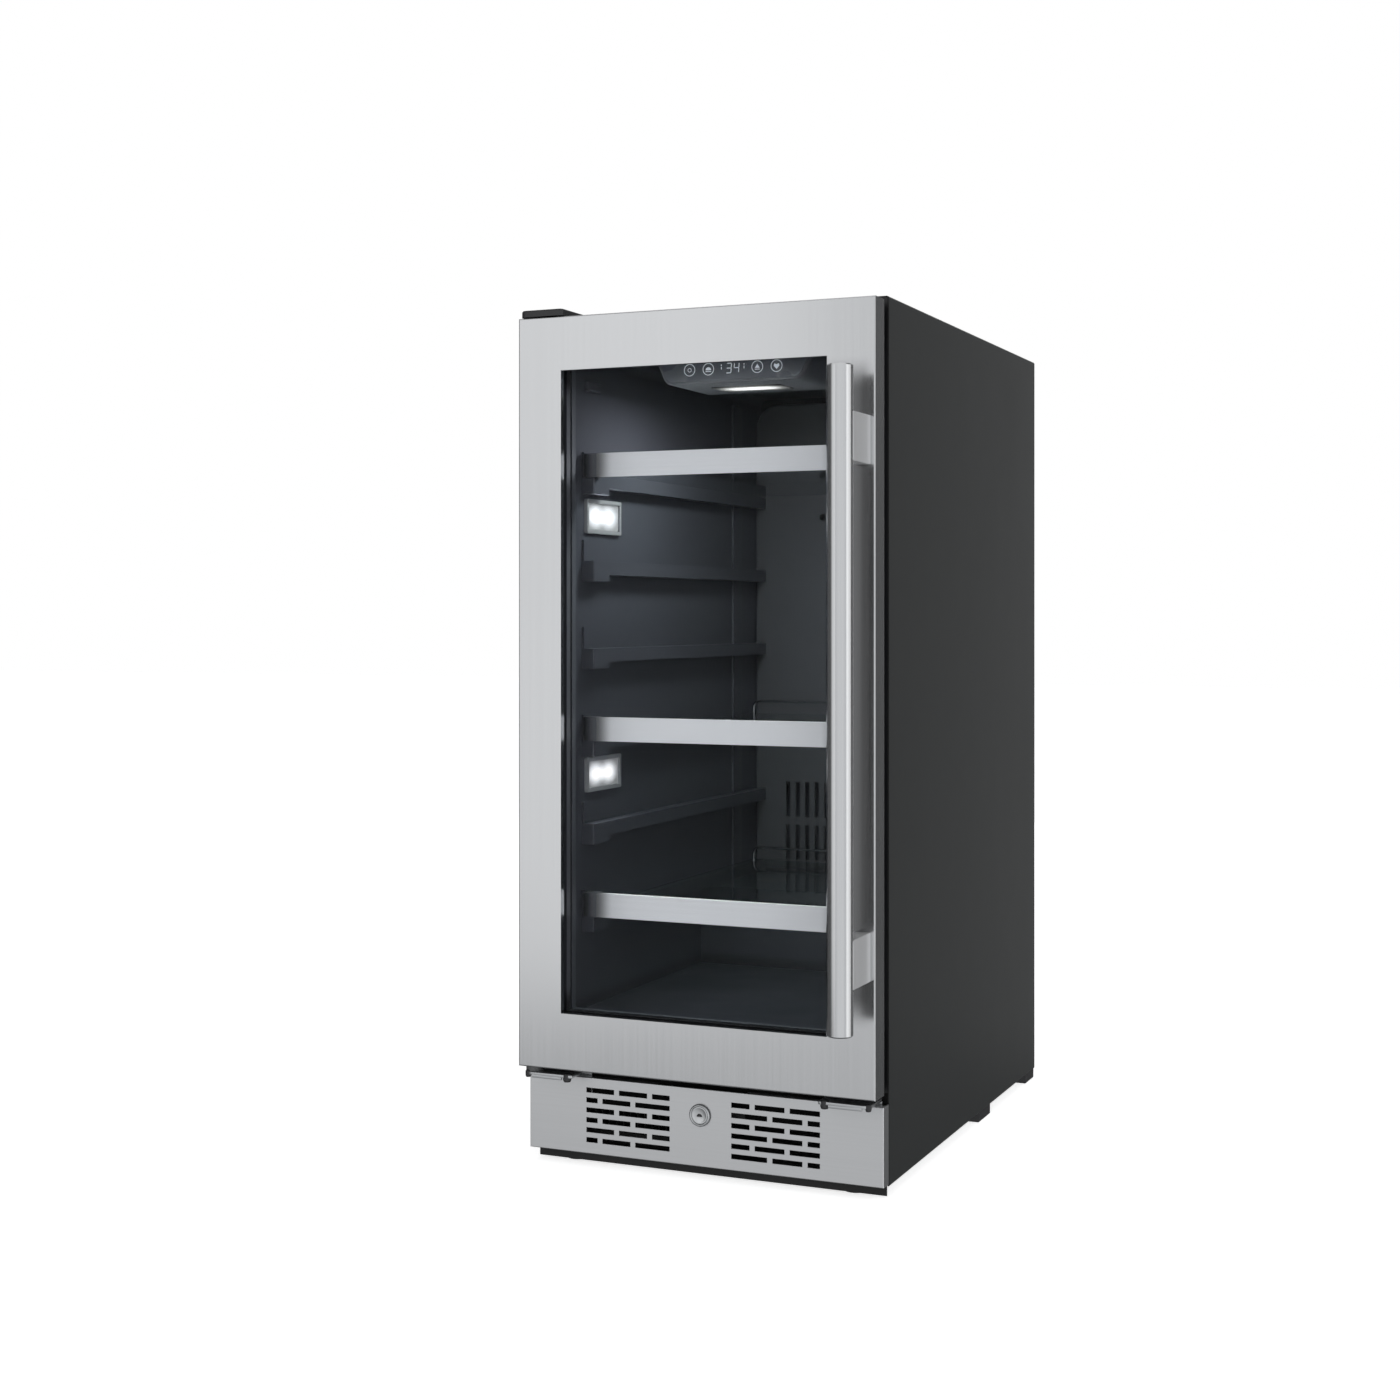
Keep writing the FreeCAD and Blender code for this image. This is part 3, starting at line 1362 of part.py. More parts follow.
def make_compressor():
    """A welded pot on a foot plate, held on four rubber mounts."""
    centre = (d.pump_x, face + d.to_pump)
    pot = cylinder("pot", "z", centre, d.pump_dia, (d.pump_low, d.pump_low + d.pump_tall))
    document.recompute()
    domed = document.addObject("Part::Fillet", "pot_domed")
    domed.Base = pot
    reach = d.pump_round.number
    domed.Edges = [
        (n, reach, reach) for n, e in enumerate(pot.Shape.Edges, start=1) if len(e.Vertexes) == 1
    ]
    weld = cylinder("pot_weld", "z", centre, d.seam_dia, (d.seam_z, d.seam_z + d.seam_tall))
    x = between(d.pump_x, d.plate_long / 2)
    y = between(face + d.to_pump, d.plate_wide / 2)
    plate = box("foot_plate", x, y, (d.pump_low - d.plate_thick, d.pump_low + d.pump_round / 2))
    trimmed = box("foot_plate_room", x, y, (d.pump_low, d.pump_low + d.pump_round))
    foot = cut("foot_plate_cut", plate, [trimmed])
    neck = cylinder(
        "pot_neck",
        "z",
        centre,
        d.pump_dia - d.pump_round * 2,
        (d.pump_low - d.plate_thick, d.pump_low + d.pump_round),
    )
    keep(fuse("compressor_solid", [domed, weld, foot, neck]), "compressor")
    mounts = []
    for across in (-1, 1):
        for deep in (-1, 1):
            place = (
                d.pump_x + (d.plate_long / 2 - d.mount_inset) * across,
                face + d.to_pump + (d.plate_wide / 2 - d.mount_inset) * deep,
            )
            span = (pan_top, d.pump_low - d.plate_thick)
            mounts.append(cylinder("mount", "z", place, d.mount_dia, span))
    keep(fuse("mounts", mounts), "compressor_mounts")


def make_condenser():
    """A finned coil behind the left grille."""
    y = (face + d.to_cond, face + d.to_cond + d.cond_deep)
    z = (d.cond_low, d.cond_low + d.cond_tall)
    pieces = []
    for n in range(CONDENSER_FINS):
        left = -d.cond_left + d.cond_pitch * n
        pieces.append(box("cond_fin", (left, left + d.fin_thick), y, z))
    span = (-d.cond_left, -d.cond_left + d.cond_pitch * (CONDENSER_FINS - 1) + d.fin_thick)
    for row in range(CONDENSER_ROWS):
        deep = y[0] + d.cond_deep * (row * 2 + 1) / (CONDENSER_ROWS * 2)
        for column in range(CONDENSER_COLUMNS):
            high = z[0] + d.cond_tall * (column * 2 + 1) / (CONDENSER_COLUMNS * 2)
            pieces.append(cylinder("cond_run", "x", (deep, high), d.coil_tube, span))
    foot = box("cond_foot", span, (y[0], y[0] + d.arm_thick), (pan_top, d.cond_low + d.arm_thick))
    keep(fuse("condenser", pieces + [foot]), "condenser_coil")


def make_drain_pan():
    """The open tray that the meltwater dries off from."""
    x = (-d.tray_left, -d.tray_right)
    y = (face + d.to_tray, face + d.to_tray + d.tray_long)
    wall = d.tray_wall
    block = box("tray_block", x, y, (pan_top, pan_top + d.tray_tall))
    room = box(
        "tray_room",
        (x[0] + wall, x[1] - wall),
        (y[0] + wall, y[1] - wall),
        (pan_top + wall, pan_top + d.tray_tall * 2),
    )
    keep(cut("tray_cut", block, [room]), "drain_pan")


def make_lines():
    """The hot line from the compressor to the condenser, and the cold line up to the deck."""
    pot_left = d.pump_x - d.pump_dia / 2
    pump_y = face + d.to_pump
    high = d.deck_low - d.line_dia * 2
    low = d.cond_low + d.cond_tall / 2
    end_x = -d.cond_left + d.cond_pitch * (CONDENSER_FINS - 1) + d.fin_thick
    turn_x = end_x + d.line_run
    cond_y = face + d.to_cond + d.cond_deep / 2
    hot = [
        (pot_left, pump_y, high), (pot_left - d.line_run, pump_y, high),
        (turn_x - d.line_turn, face + d.to_step, high), (turn_x, cond_y + d.line_run * 2, high),
        (turn_x, cond_y, low), (end_x, cond_y, low),
    ]
    cold_y = pump_y + d.pump_dia / 2
    cold = [
        (d.pump_x, cold_y, d.cold_port_z), (d.pump_x, cold_y + d.line_out, d.cold_port_z),
        (d.pump_x, cold_y + d.line_out, d.deck_high),
    ]
    pipe("refrigerant_lines", [hot, cold], d.line_dia, d.line_bend)


def make_power_inlet():
    """A three-prong appliance inlet set in the lower back."""
    y = (panel - d.inlet_deep, panel)
    body = box(
        "inlet_body",
        between(d.inlet_x, d.inlet_wide / 2),
        y,
        between(d.inlet_z, d.inlet_tall / 2),
    )
    socket = box(
        "inlet_socket",
        between(d.inlet_x, d.socket_wide / 2),
        (panel - d.socket_deep, back),
        between(d.inlet_z, d.socket_tall / 2),
    )
    hollow = cut("inlet_cut", body, [socket])
    floor = panel - d.socket_deep
    prongs = []
    for place, rise in ((-1, -1), (0, 1), (1, -1)):
        middle = d.inlet_x + d.prong_space * place
        height = d.inlet_z + d.prong_rise * rise
        prongs.append(
            box(
                "prong",
                between(middle, d.prong_thick / 2),
                (floor, floor + d.prong_long),
                between(height, d.prong_wide / 2),
            )
        )
    keep(fuse("inlet_solid", [hollow] + prongs), "power_inlet")


# ---- the whole refrigerator ---------------------------------------------------------------------


def write_subparts():
    """Check every object and every sub-part, then write one STEP file for each."""
    document.recompute()
    for item in document.Objects:
        if "Invalid" in item.State or "Error" in item.State:
            raise SystemExit(f"{item.Name} ({item.Label}): {item.State}")
    for label, item in subparts.items():
        if item.Label != label:
            raise SystemExit(f"{label} was renamed {item.Label}")
        if item.Shape.isNull() or not item.Shape.isValid() or item.Shape.Volume <= 0:
            raise SystemExit(f"{label} has no valid solid")
    os.makedirs("parts", exist_ok=True)
    for label, item in subparts.items():
        item.Shape.exportStep(f"parts/{label}.step")
        print(f"{label}: {len(item.Shape.Solids)} solid(s), {item.Shape.Volume / 1000:.1f} cm3")


make_outer_shell()
make_rear_panel()
make_compressor_cover()
make_base_pan()
make_glides()
make_leveling_feet()
make_liner()
make_foam()
make_front_rail()
make_kick_plate()
make_lock()
make_lower_brackets()
make_upper_hinge()
make_hinge_pins()
make_hinge_screws()
make_door_frame()
make_door_core()
make_door_inner_frame()
make_panes()
make_gasket()
make_handle()
make_bushes()
make_shelf_rails()
for number, place in enumerate(SHELF_LEVELS, start=1):
    make_shelf(number, levels[place])
make_duct_cover()
make_evaporator()
make_fans()
make_controls()
make_side_lights()
make_compressor()
make_condenser()
make_drain_pan()
make_lines()
make_power_inlet()
write_subparts()
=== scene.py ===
import math

import bmesh
import bpy
from mathutils import Matrix, Vector


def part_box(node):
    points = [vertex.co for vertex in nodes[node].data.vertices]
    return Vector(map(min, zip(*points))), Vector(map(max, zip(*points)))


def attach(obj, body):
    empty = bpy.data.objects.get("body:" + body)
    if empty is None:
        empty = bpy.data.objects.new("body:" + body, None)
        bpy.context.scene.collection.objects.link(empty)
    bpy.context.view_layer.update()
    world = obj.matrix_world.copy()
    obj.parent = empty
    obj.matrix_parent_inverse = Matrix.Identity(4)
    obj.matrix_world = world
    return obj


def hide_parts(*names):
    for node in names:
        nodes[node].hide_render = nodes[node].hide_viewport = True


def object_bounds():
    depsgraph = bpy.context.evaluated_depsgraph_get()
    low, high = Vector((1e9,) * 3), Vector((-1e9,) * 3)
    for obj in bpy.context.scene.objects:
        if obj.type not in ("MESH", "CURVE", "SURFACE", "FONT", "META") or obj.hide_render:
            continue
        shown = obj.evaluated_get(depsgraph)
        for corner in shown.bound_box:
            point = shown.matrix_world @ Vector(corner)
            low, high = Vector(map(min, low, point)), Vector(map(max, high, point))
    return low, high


# The looks of an undercounter refrigerator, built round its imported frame. Metres; X to the right,
# Y to the rear, Z up. Places come from the frame's own boxes.

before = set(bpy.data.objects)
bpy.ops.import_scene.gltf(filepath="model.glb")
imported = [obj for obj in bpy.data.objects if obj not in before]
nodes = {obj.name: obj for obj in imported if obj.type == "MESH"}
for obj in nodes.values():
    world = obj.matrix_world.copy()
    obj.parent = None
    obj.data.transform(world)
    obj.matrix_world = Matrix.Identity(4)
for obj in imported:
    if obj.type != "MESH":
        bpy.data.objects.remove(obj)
cad_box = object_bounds()

SHELVES = ("shelf_1", "shelf_2", "shelf_3")
ROUND_STEPS = 72  # flat sides that stand for a full circle
ARC_STEPS = 5  # and for the arc at one rounded corner
LINER_FLOOR = 0.150  # the height of the liner's floor inside


def ends(node):
    """A node's middle, and its lowest and highest corners."""
    low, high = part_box(node)
    return (low + high) / 2, low, high


def add_node(tree, kind, inputs=(), **settings):
    """Add a shader node; an input is a plain value or another node's output."""
    node = tree.nodes.new(f"ShaderNode{kind}")
    for setting, value in settings.items():
        setattr(node, setting, value)
    for socket, value in dict(inputs).items():
        if isinstance(value, bpy.types.NodeSocket):
            tree.links.new(value, node.inputs[socket])
        else:
            node.inputs[socket].default_value = value
    return node


# ---- finishes -----------------------------------------------------------------------------------


class Finish:
    """A node material in the making: one Principled shader and the nodes that feed it."""

    def __init__(self, name, **sockets):
        self.material = bpy.data.materials.new(name)
        self.material.use_nodes = True
        self.nodes = self.material.node_tree.nodes
        self.links = self.material.node_tree.links
        self.shader = self.nodes["Principled BSDF"]
        for socket, value in sockets.items():
            self.shader.inputs[socket.replace("_", " ")].default_value = value

    def make(self, kind, inputs=(), **settings):
        """Add a node to the material."""
        return add_node(self.material.node_tree, kind, inputs, **settings)

    def feed(self, socket, value):
        """Drive one of the shader's sockets."""
        self.links.new(value, self.shader.inputs[socket])

    def place(self, stretch=(1, 1, 1)):
        """Where a point lies on its piece, with each axis multiplied."""
        here = self.make("TexCoord").outputs["Object"]
        return self.make("Mapping", {"Vector": here, "Scale": stretch}).outputs["Vector"]

    def noise(self, stretch, detail=3.0):
        """Cloudy variation; stretch is how many clouds there are to the metre along each axis."""
        inputs = {"Vector": self.place(stretch), "Scale": 1.0, "Detail": detail, "Roughness": 0.55}
        return self.make("TexNoise", inputs).outputs["Fac"]

    def cells(self, stretch):
        """A pattern of cells, each one shaded by how far a point is from its middle."""
        return self.make("TexVoronoi", {"Vector": self.place(stretch), "Scale": 1.0}).outputs["Distance"]

    def spread(self, factor, low, high, start=0.3, end=0.7):
        """Take a factor's middle range to the range from low to high."""
        inputs = {"Value": factor, "From Min": start, "From Max": end, "To Min": low, "To Max": high}
        return self.make("MapRange", inputs).outputs["Result"]

    def add(self, first, second, operation="ADD"):
        """Join two factors."""
        return self.make("Math", {0: first, 1: second}, operation=operation).outputs[0]

    def tint(self, factor, dark, light):
        """A colour between two, by a factor; either may be another node's output."""
        mix = self.make("Mix", data_type="RGBA")
        self.links.new(factor, mix.inputs["Factor"])
        colours = [socket for socket in mix.inputs if socket.type == "RGBA"]
        for socket, colour in zip(colours, (dark, light)):
            if isinstance(colour, bpy.types.NodeSocket):
                self.links.new(colour, socket)
            else:
                socket.default_value = (*colour, 1)
        return next(socket for socket in mix.outputs if socket.type == "RGBA")

    def worn(self, base, reach, colour):
        """Lay a colour over another along the piece's outer edges."""
        soft = self.make("Bevel", {"Radius": reach}, samples=4).outputs["Normal"]
        true = self.make("NewGeometry").outputs["Normal"]
        facing = self.make("VectorMath", {0: soft, 1: true}, operation="DOT_PRODUCT").outputs["Value"]
        edge = self.spread(facing, 1.0, 0.0, 0.80, 0.99)
        patchy = self.spread(self.noise((90, 90, 90)), 0.1, 1.0)
        return self.tint(self.add(edge, patchy, "MULTIPLY"), base, colour)

    def shade(self, colour, level, *spans):
        """Bring a colour down to a share of itself; each span is an axis, and where it starts and ends."""
        here = self.make("SeparateXYZ", {"Vector": self.make("TexCoord").outputs["Object"]})
        reach = 1.0
        for axis, start, end in spans:
            inputs = {"Value": here.outputs[axis.upper()], "From Min": start, "From Max": end}
            ramp = self.make("MapRange", inputs, interpolation_type="SMOOTHSTEP").outputs["Result"]
            reach = self.add(reach, ramp, "MULTIPLY")
        share = self.spread(reach, 1.0, level, 0.0, 1.0)
        scaled = self.make("VectorMath", operation="SCALE")
        self.links.new(colour, scaled.inputs[0])
        self.links.new(share, scaled.inputs["Scale"])
        return scaled.outputs["Vector"]

    def colour(self, colour, shades=()):
        """Set the base colour, brought down by each (level, *spans) of the shades in turn."""
        for level, *spans in shades:
            colour = self.shade(colour, level, *spans)
        self.feed("Base Color", colour)
        return colour

    def bump(self, height, depth, edge=0.0):
        """Raise the surface by a factor, by up to depth; edge is how far its sharp turns look rounded."""
        bump = self.make("Bump", {"Height": height, "Distance": depth, "Strength": 1.0})
        if edge:
            rounded = self.make("Bevel", {"Radius": edge}, samples=4).outputs["Normal"]
            self.links.new(rounded, bump.inputs["Normal"])
        self.feed("Normal", bump.outputs["Normal"])


def brushed(name, along, tone, coarse=420, rough=(0.31, 0.37), metal=1.0, spread=0.72, shades=()):
    """Satin stainless steel, its grain along one axis; spread is how far it smears a reflection."""
    finish = Finish(name, Metallic=metal, Anisotropic=spread)
    finish.shader.inputs["Anisotropic Rotation"].default_value = 0.0 if along == "z" else 0.25
    across, lengthways = (coarse, 2600), (2.2, 12)
    streaks, hair = (
        finish.noise([run if axis == along else cut for axis in "xyz"], detail=4)
        for cut, run in zip(across, lengthways)
    )
    cloud = finish.noise((3.1, 3.1, 3.1), detail=2)
    grain = finish.add(finish.spread(streaks, 0, 0.55), finish.spread(hair, 0, 0.45))
    colour = finish.tint(grain, [shade * 0.94 for shade in tone], tone)
    finish.colour(colour, shades)
    rubbed = finish.add(finish.spread(grain, *rough, 0.1, 0.9), finish.spread(cloud, -0.02, 0.03))
    finish.feed("Roughness", rubbed)
    finish.bump(grain, 0.000004, 0.0004)
    return finish.material


def paint(name, dark, light, peel, rough, edge=None, shades=()):
    """Sprayed or baked paint with a little orange peel, dust and rubbed edges."""
    finish = Finish(name, Specular_IOR_Level=0.35)
    cloud = finish.noise((4, 4, 4), detail=5)
    speck = finish.noise((700, 700, 700), detail=2)
    colour = finish.tint(finish.add(cloud, finish.spread(speck, -0.2, 0.2)), dark, light)
    if edge:
        colour = finish.worn(colour, 0.0012, edge)
    finish.colour(colour, shades)
    finish.feed("Roughness", finish.spread(cloud, *rough))
    finish.bump(finish.noise((peel, peel, peel), detail=2), 0.00002, 0.0005)
    return finish.material


def moulded(name, dark, light, pebble, rough, depth=0.000008, speck=0.12, shades=(), **sockets):
    """Moulded plastic or rubber with a fine leather grain."""
    finish = Finish(name, **sockets)
    cloud = finish.noise((9, 9, 9), detail=4)
    grain = finish.cells((pebble, pebble, pebble))
    colour = finish.tint(finish.add(cloud, finish.spread(grain, -speck, speck)), dark, light)
    finish.colour(colour, shades)
    finish.feed("Roughness", finish.spread(cloud, *rough))
    finish.bump(grain, depth, 0.0004)
    return finish.material


def plated(name, tone, rough, scratch=1800, metal=1.0, shades=()):
    """Polished or zinc-plated metal with hairline scratches."""
    finish = Finish(name, Metallic=metal)
    lines = finish.noise((scratch, 30, scratch / 6), detail=2)
    cloud = finish.noise((25, 25, 25))
    colour = finish.tint(cloud, [shade * 0.88 for shade in tone], tone)
    finish.colour(colour, shades)
    finish.feed("Roughness", finish.add(finish.spread(lines, *rough), finish.spread(cloud, -0.02, 0.03)))
    finish.bump(lines, 0.000004, 0.0003)
    return finish.material


def spangled(name):
    """Hot-dip galvanised sheet: crystal patches of zinc."""
    finish = Finish(name, Metallic=1.0)
    patches = finish.cells((85, 85, 85))
    cloud = finish.noise((5, 5, 5))
    shade = finish.add(finish.spread(patches, 0.2, 0.5, 0.05, 0.6), finish.spread(cloud, 0, 0.3))
    finish.feed("Base Color", finish.tint(shade, (0.37, 0.38, 0.39), (0.46, 0.47, 0.48)))
    finish.feed("Roughness", finish.spread(patches, 0.42, 0.48, 0.05, 0.6))
    finish.bump(patches, 0.000004)
    return finish.material


def glazing(name, tone, bend):
    """Flat glass with faint smears, which lets the lamps' light straight through."""
    finish = Finish(name, IOR=bend, Transmission_Weight=1.0)
    smear = finish.noise((14, 14, 40), detail=6)
    finish.feed("Base Color", finish.tint(smear, [shade * 0.985 for shade in tone], tone))
    finish.feed("Roughness", finish.spread(smear, 0.0, 0.004, 0.45, 0.75))
    once = [shade ** 0.5 for shade in tone]  # a shadow passes both faces of the pane
    clear = finish.make("BsdfTransparent", {"Color": (*once, 1)}).outputs["BSDF"]
    shadow = finish.make("LightPath").outputs["Is Shadow Ray"]
    pane = finish.make("MixShader", {0: shadow, 1: finish.shader.outputs["BSDF"], 2: clear})
    finish.links.new(pane.outputs["Shader"], finish.nodes["Material Output"].inputs["Surface"])
    return finish.material


def glowing(name, tone, strength, ribs=900, shades=()):
    """A lamp's lens: milky plastic with fine ribs, lit from behind."""
    finish = Finish(name, Emission_Strength=strength, Roughness=0.3)
    rib = finish.noise((ribs, ribs, ribs), detail=1)
    colour = finish.tint(rib, [shade * 0.9 for shade in tone], tone)
    finish.feed("Emission Color", finish.colour(colour, shades))
    finish.feed("Roughness", finish.spread(rib, 0.2, 0.4))
    finish.bump(rib, 0.00003)
    return finish.material


def foamed(name):
    """Cut polyurethane foam."""
    finish = Finish(name)
    bubbles = finish.cells((600, 600, 600))
    finish.feed("Base Color", finish.tint(bubbles, (0.55, 0.43, 0.20), (0.80, 0.68, 0.42)))
    finish.feed("Roughness", finish.spread(bubbles, 0.8, 0.95, 0.0, 0.6))
    finish.bump(bubbles, 0.0004)
    return finish.material


def circuit(name):
    """A green lacquered circuit board with pads and tracks."""
    finish = Finish(name)
    track = finish.make("TexBrick", {"Vector": finish.place(), "Scale": 260.0})
    track.inputs["Color1"].default_value = (0.01, 0.10, 0.04, 1)
    track.inputs["Color2"].default_value = (0.02, 0.16, 0.06, 1)
    track.inputs["Mortar"].default_value = (0.45, 0.36, 0.12, 1)
    finish.feed("Base Color", track.outputs["Color"])
    finish.feed("Roughness", finish.spread(finish.noise((60, 60, 60)), 0.25, 0.4))
    finish.bump(track.outputs["Fac"], 0.00005)
    return finish.material


def tube_copper(name):
    """Drawn copper tube, browned in patches."""
    finish = Finish(name, Metallic=1.0)
    patina = finish.noise((45, 45, 45), detail=5)
    browning = finish.spread(patina, 0, 1)
    finish.feed("Base Color", finish.tint(browning, (0.36, 0.15, 0.08), (0.72, 0.34, 0.20)))
    finish.feed("Roughness", finish.spread(patina, 0.22, 0.48))
    finish.bump(patina, 0.00002)
    return finish.material


# ---- shades -------------------------------------------------------------------------------------
# A shade is the level that a colour falls to, and the spans over which it falls. All but the ceiling lens's
# are painted shade and painted reflection.


def both_sides(level, inner, outer):
    """A shade to the left and the right alike."""
    return [(level, ("x", side * inner, side * outer)) for side in (-1, 1)]


def front_edge_shade():
    """Painted shade: the shell's front edge is darkened, as it lies in the dark behind the door."""
    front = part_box("inner_liner")[0].y
    return [(0.15, ("y", front + 0.00325, front + 0.00075))]


def handle_painted_shadow():
    """Painted shadow and reflection: the door's face is darkened behind and beside the handle, and its right
    edge's highlight is darkened.
    """
    right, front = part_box("door_frame")[1].x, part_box("door_frame")[0].y
    bottom, top = (corner.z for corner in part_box("handle_tube"))
    return [
        (0.27, ("x", right - 0.055, right - 0.046), ("x", right - 0.0005, right - 0.0130),
         ("y", front + 0.00175, front + 0.00045), ("z", bottom - 0.0053, bottom + 0.0297),
         ("z", top + 0.0162, top - 0.0188)),
        (0.8, ("x", right - 0.0012, right - 0.0004)),
    ]


def handle_rear_shade():
    """Painted shade on the side of the handle that faces the door."""
    axis = ends("handle_tube")[0].y
    return [(0.12, ("y", axis + 0.00125, axis + 0.00675))]


def liner_painted_shade():
    """Painted shade: the liner's floor, its ceiling, and the outer edge of its front are darkened."""
    ceiling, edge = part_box("control_housing")[1].z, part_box("inner_liner")[1].x
    return [(0.5, ("z", LINER_FLOOR + 0.018, LINER_FLOOR + 0.003)),
            (0.55, ("z", ceiling - 0.029, ceiling - 0.006)),
            *both_sides(0.1, edge - 0.0108, edge - 0.0068)]


def spacer_painted_shade():
    """Painted shade: the spacer's upper and lower bars are darkened."""
    low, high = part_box("glass_spacer")
    return [(0.15, ("z", high.z - 0.0405, high.z - 0.0205)), (0.15, ("z", low.z + 0.039, low.z + 0.019))]


def frame_painted_shade():
    """Painted light and shade: the inner frame is grey, as if lit, only along the edge that shows round the
    window, and darkened elsewhere.
    """
    low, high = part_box("door_glass")
    return [*both_sides(0.13, high.x - 0.008, high.x - 0.006),
            (0.13, ("z", low.z + 0.007, low.z + 0.004)), (0.13, ("z", high.z - 0.0045, high.z - 0.0015))]


def lens_gloom():
    """The ceiling lamp's lens is brightest in its middle, and dim toward its edges."""
    middle, _, high = ends("ceiling_light_lens")
    shades = []
    for axis, start in (("x", 0.30), ("y", 0.10)):
        centre = getattr(middle, axis)
        half = getattr(high, axis) - centre
        shades += [(0.06, (axis, centre + way * start * half, centre + way * half)) for way in (-1, 1)]
    return shades


# ---- materials of the frame's nodes -------------------------------------------------------------

STEEL_TONE = (0.66, 0.665, 0.675)
TRIM_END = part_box("shelf_1_trim")[1].x
CAP_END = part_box("shelf_1_end_caps")[1].x


def lit_steel_tone(share):
    """The steel's colour made brighter, as painted light."""
    return [shade * share for shade in STEEL_TONE]


finishes = {
    "cabinet_paint": paint("cabinet_paint", (0.013, 0.0145, 0.0145), (0.018, 0.0195, 0.0195), 420,
                           (0.28, 0.34), (0.050, 0.052, 0.052), front_edge_shade()),
    "bare_steel": spangled("bare_steel"),
    "dark_steel": paint("dark_steel", (0.006, 0.006, 0.007), (0.011, 0.011, 0.012), 600, (0.42, 0.55),
                        (0.05, 0.05, 0.05)),
    "brushed_steel": brushed("brushed_steel", "z", STEEL_TONE, rough=(0.19, 0.24), spread=0.35,
                             shades=handle_painted_shadow()),
    "chrome": plated("chrome", (0.78, 0.79, 0.80), (0.07, 0.16)),
    "liner_plastic": moulded("liner_plastic", (0.048, 0.052, 0.062), (0.058, 0.062, 0.074), 1500,
                             (0.34, 0.44), 0.0000015, 0.03, liner_painted_shade()),
    # Painted light: made lighter than the liner's plastic, so the back wall and the control pod look more
    # lit.
    "duct_plastic": moulded("duct_plastic", (0.080, 0.084, 0.092), (0.096, 0.100, 0.110), 1300,
                            (0.42, 0.52), 0.0000015, 0.03),
    "black_plastic": moulded("black_plastic", (0.010, 0.010, 0.011), (0.020, 0.020, 0.022), 1400,
                             (0.36, 0.50)),
    "foam": foamed("foam"),
    "door_glass": glazing("door_glass", (0.965, 0.972, 0.98), 1.08),
    "shelf_glass": glazing("shelf_glass", (0.90, 0.96, 0.94), 1.25),
    "spacer": moulded("spacer", (0.085, 0.089, 0.100), (0.100, 0.105, 0.118), 700, (0.30, 0.42),
                      shades=spacer_painted_shade()),
    "seal_rubber": moulded("seal_rubber", (0.007, 0.007, 0.008), (0.014, 0.014, 0.015), 900, (0.6, 0.8),
                           Specular_IOR_Level=0.2),
    "foot_rubber": moulded("foot_rubber", (0.012, 0.012, 0.012), (0.026, 0.026, 0.026), 700, (0.6, 0.8)),
    "panel_glass": moulded("panel_glass", (0.105, 0.115, 0.130), (0.120, 0.130, 0.148), 300,
                           (0.22, 0.30), 0.000001),
    "lamp_lens": glowing("lamp_lens", (1.0, 0.985, 0.95), 1.1),
    "circuit_board": circuit("circuit_board"),
    "copper": tube_copper("copper"),
    "compressor_paint": paint("compressor_paint", (0.008, 0.008, 0.008), (0.015, 0.015, 0.016), 300,
                              (0.22, 0.34), (0.05, 0.05, 0.05)),
    # Partly painted shade: the bushes are darker than such bushes usually are, so the gap under the door
    # stays dark.
    "bush_plastic": moulded("bush_plastic", (0.055, 0.056, 0.058), (0.075, 0.076, 0.078), 800,
                            (0.35, 0.5)),
    "fan_plastic": moulded("fan_plastic", (0.04, 0.045, 0.05), (0.06, 0.065, 0.07), 900, (0.3, 0.42)),
}

# Painted light and shade: the trims are a light, barely metallic steel, and darken toward their ends.
trim_steel = brushed("trim_steel", "x", (0.97, 0.97, 0.98), 420, (0.46, 0.52), metal=0.2, spread=0.0,
                     shades=both_sides(0.22, TRIM_END - 0.019, TRIM_END + 0.0005))

# Painted shade: the end caps darken toward their outer ends.
cap_plastic = moulded("cap_plastic", (0.110, 0.114, 0.126), (0.130, 0.134, 0.148), 1400, (0.36, 0.50),
                      shades=both_sides(0.14, CAP_END - 0.0144, CAP_END - 0.0019))

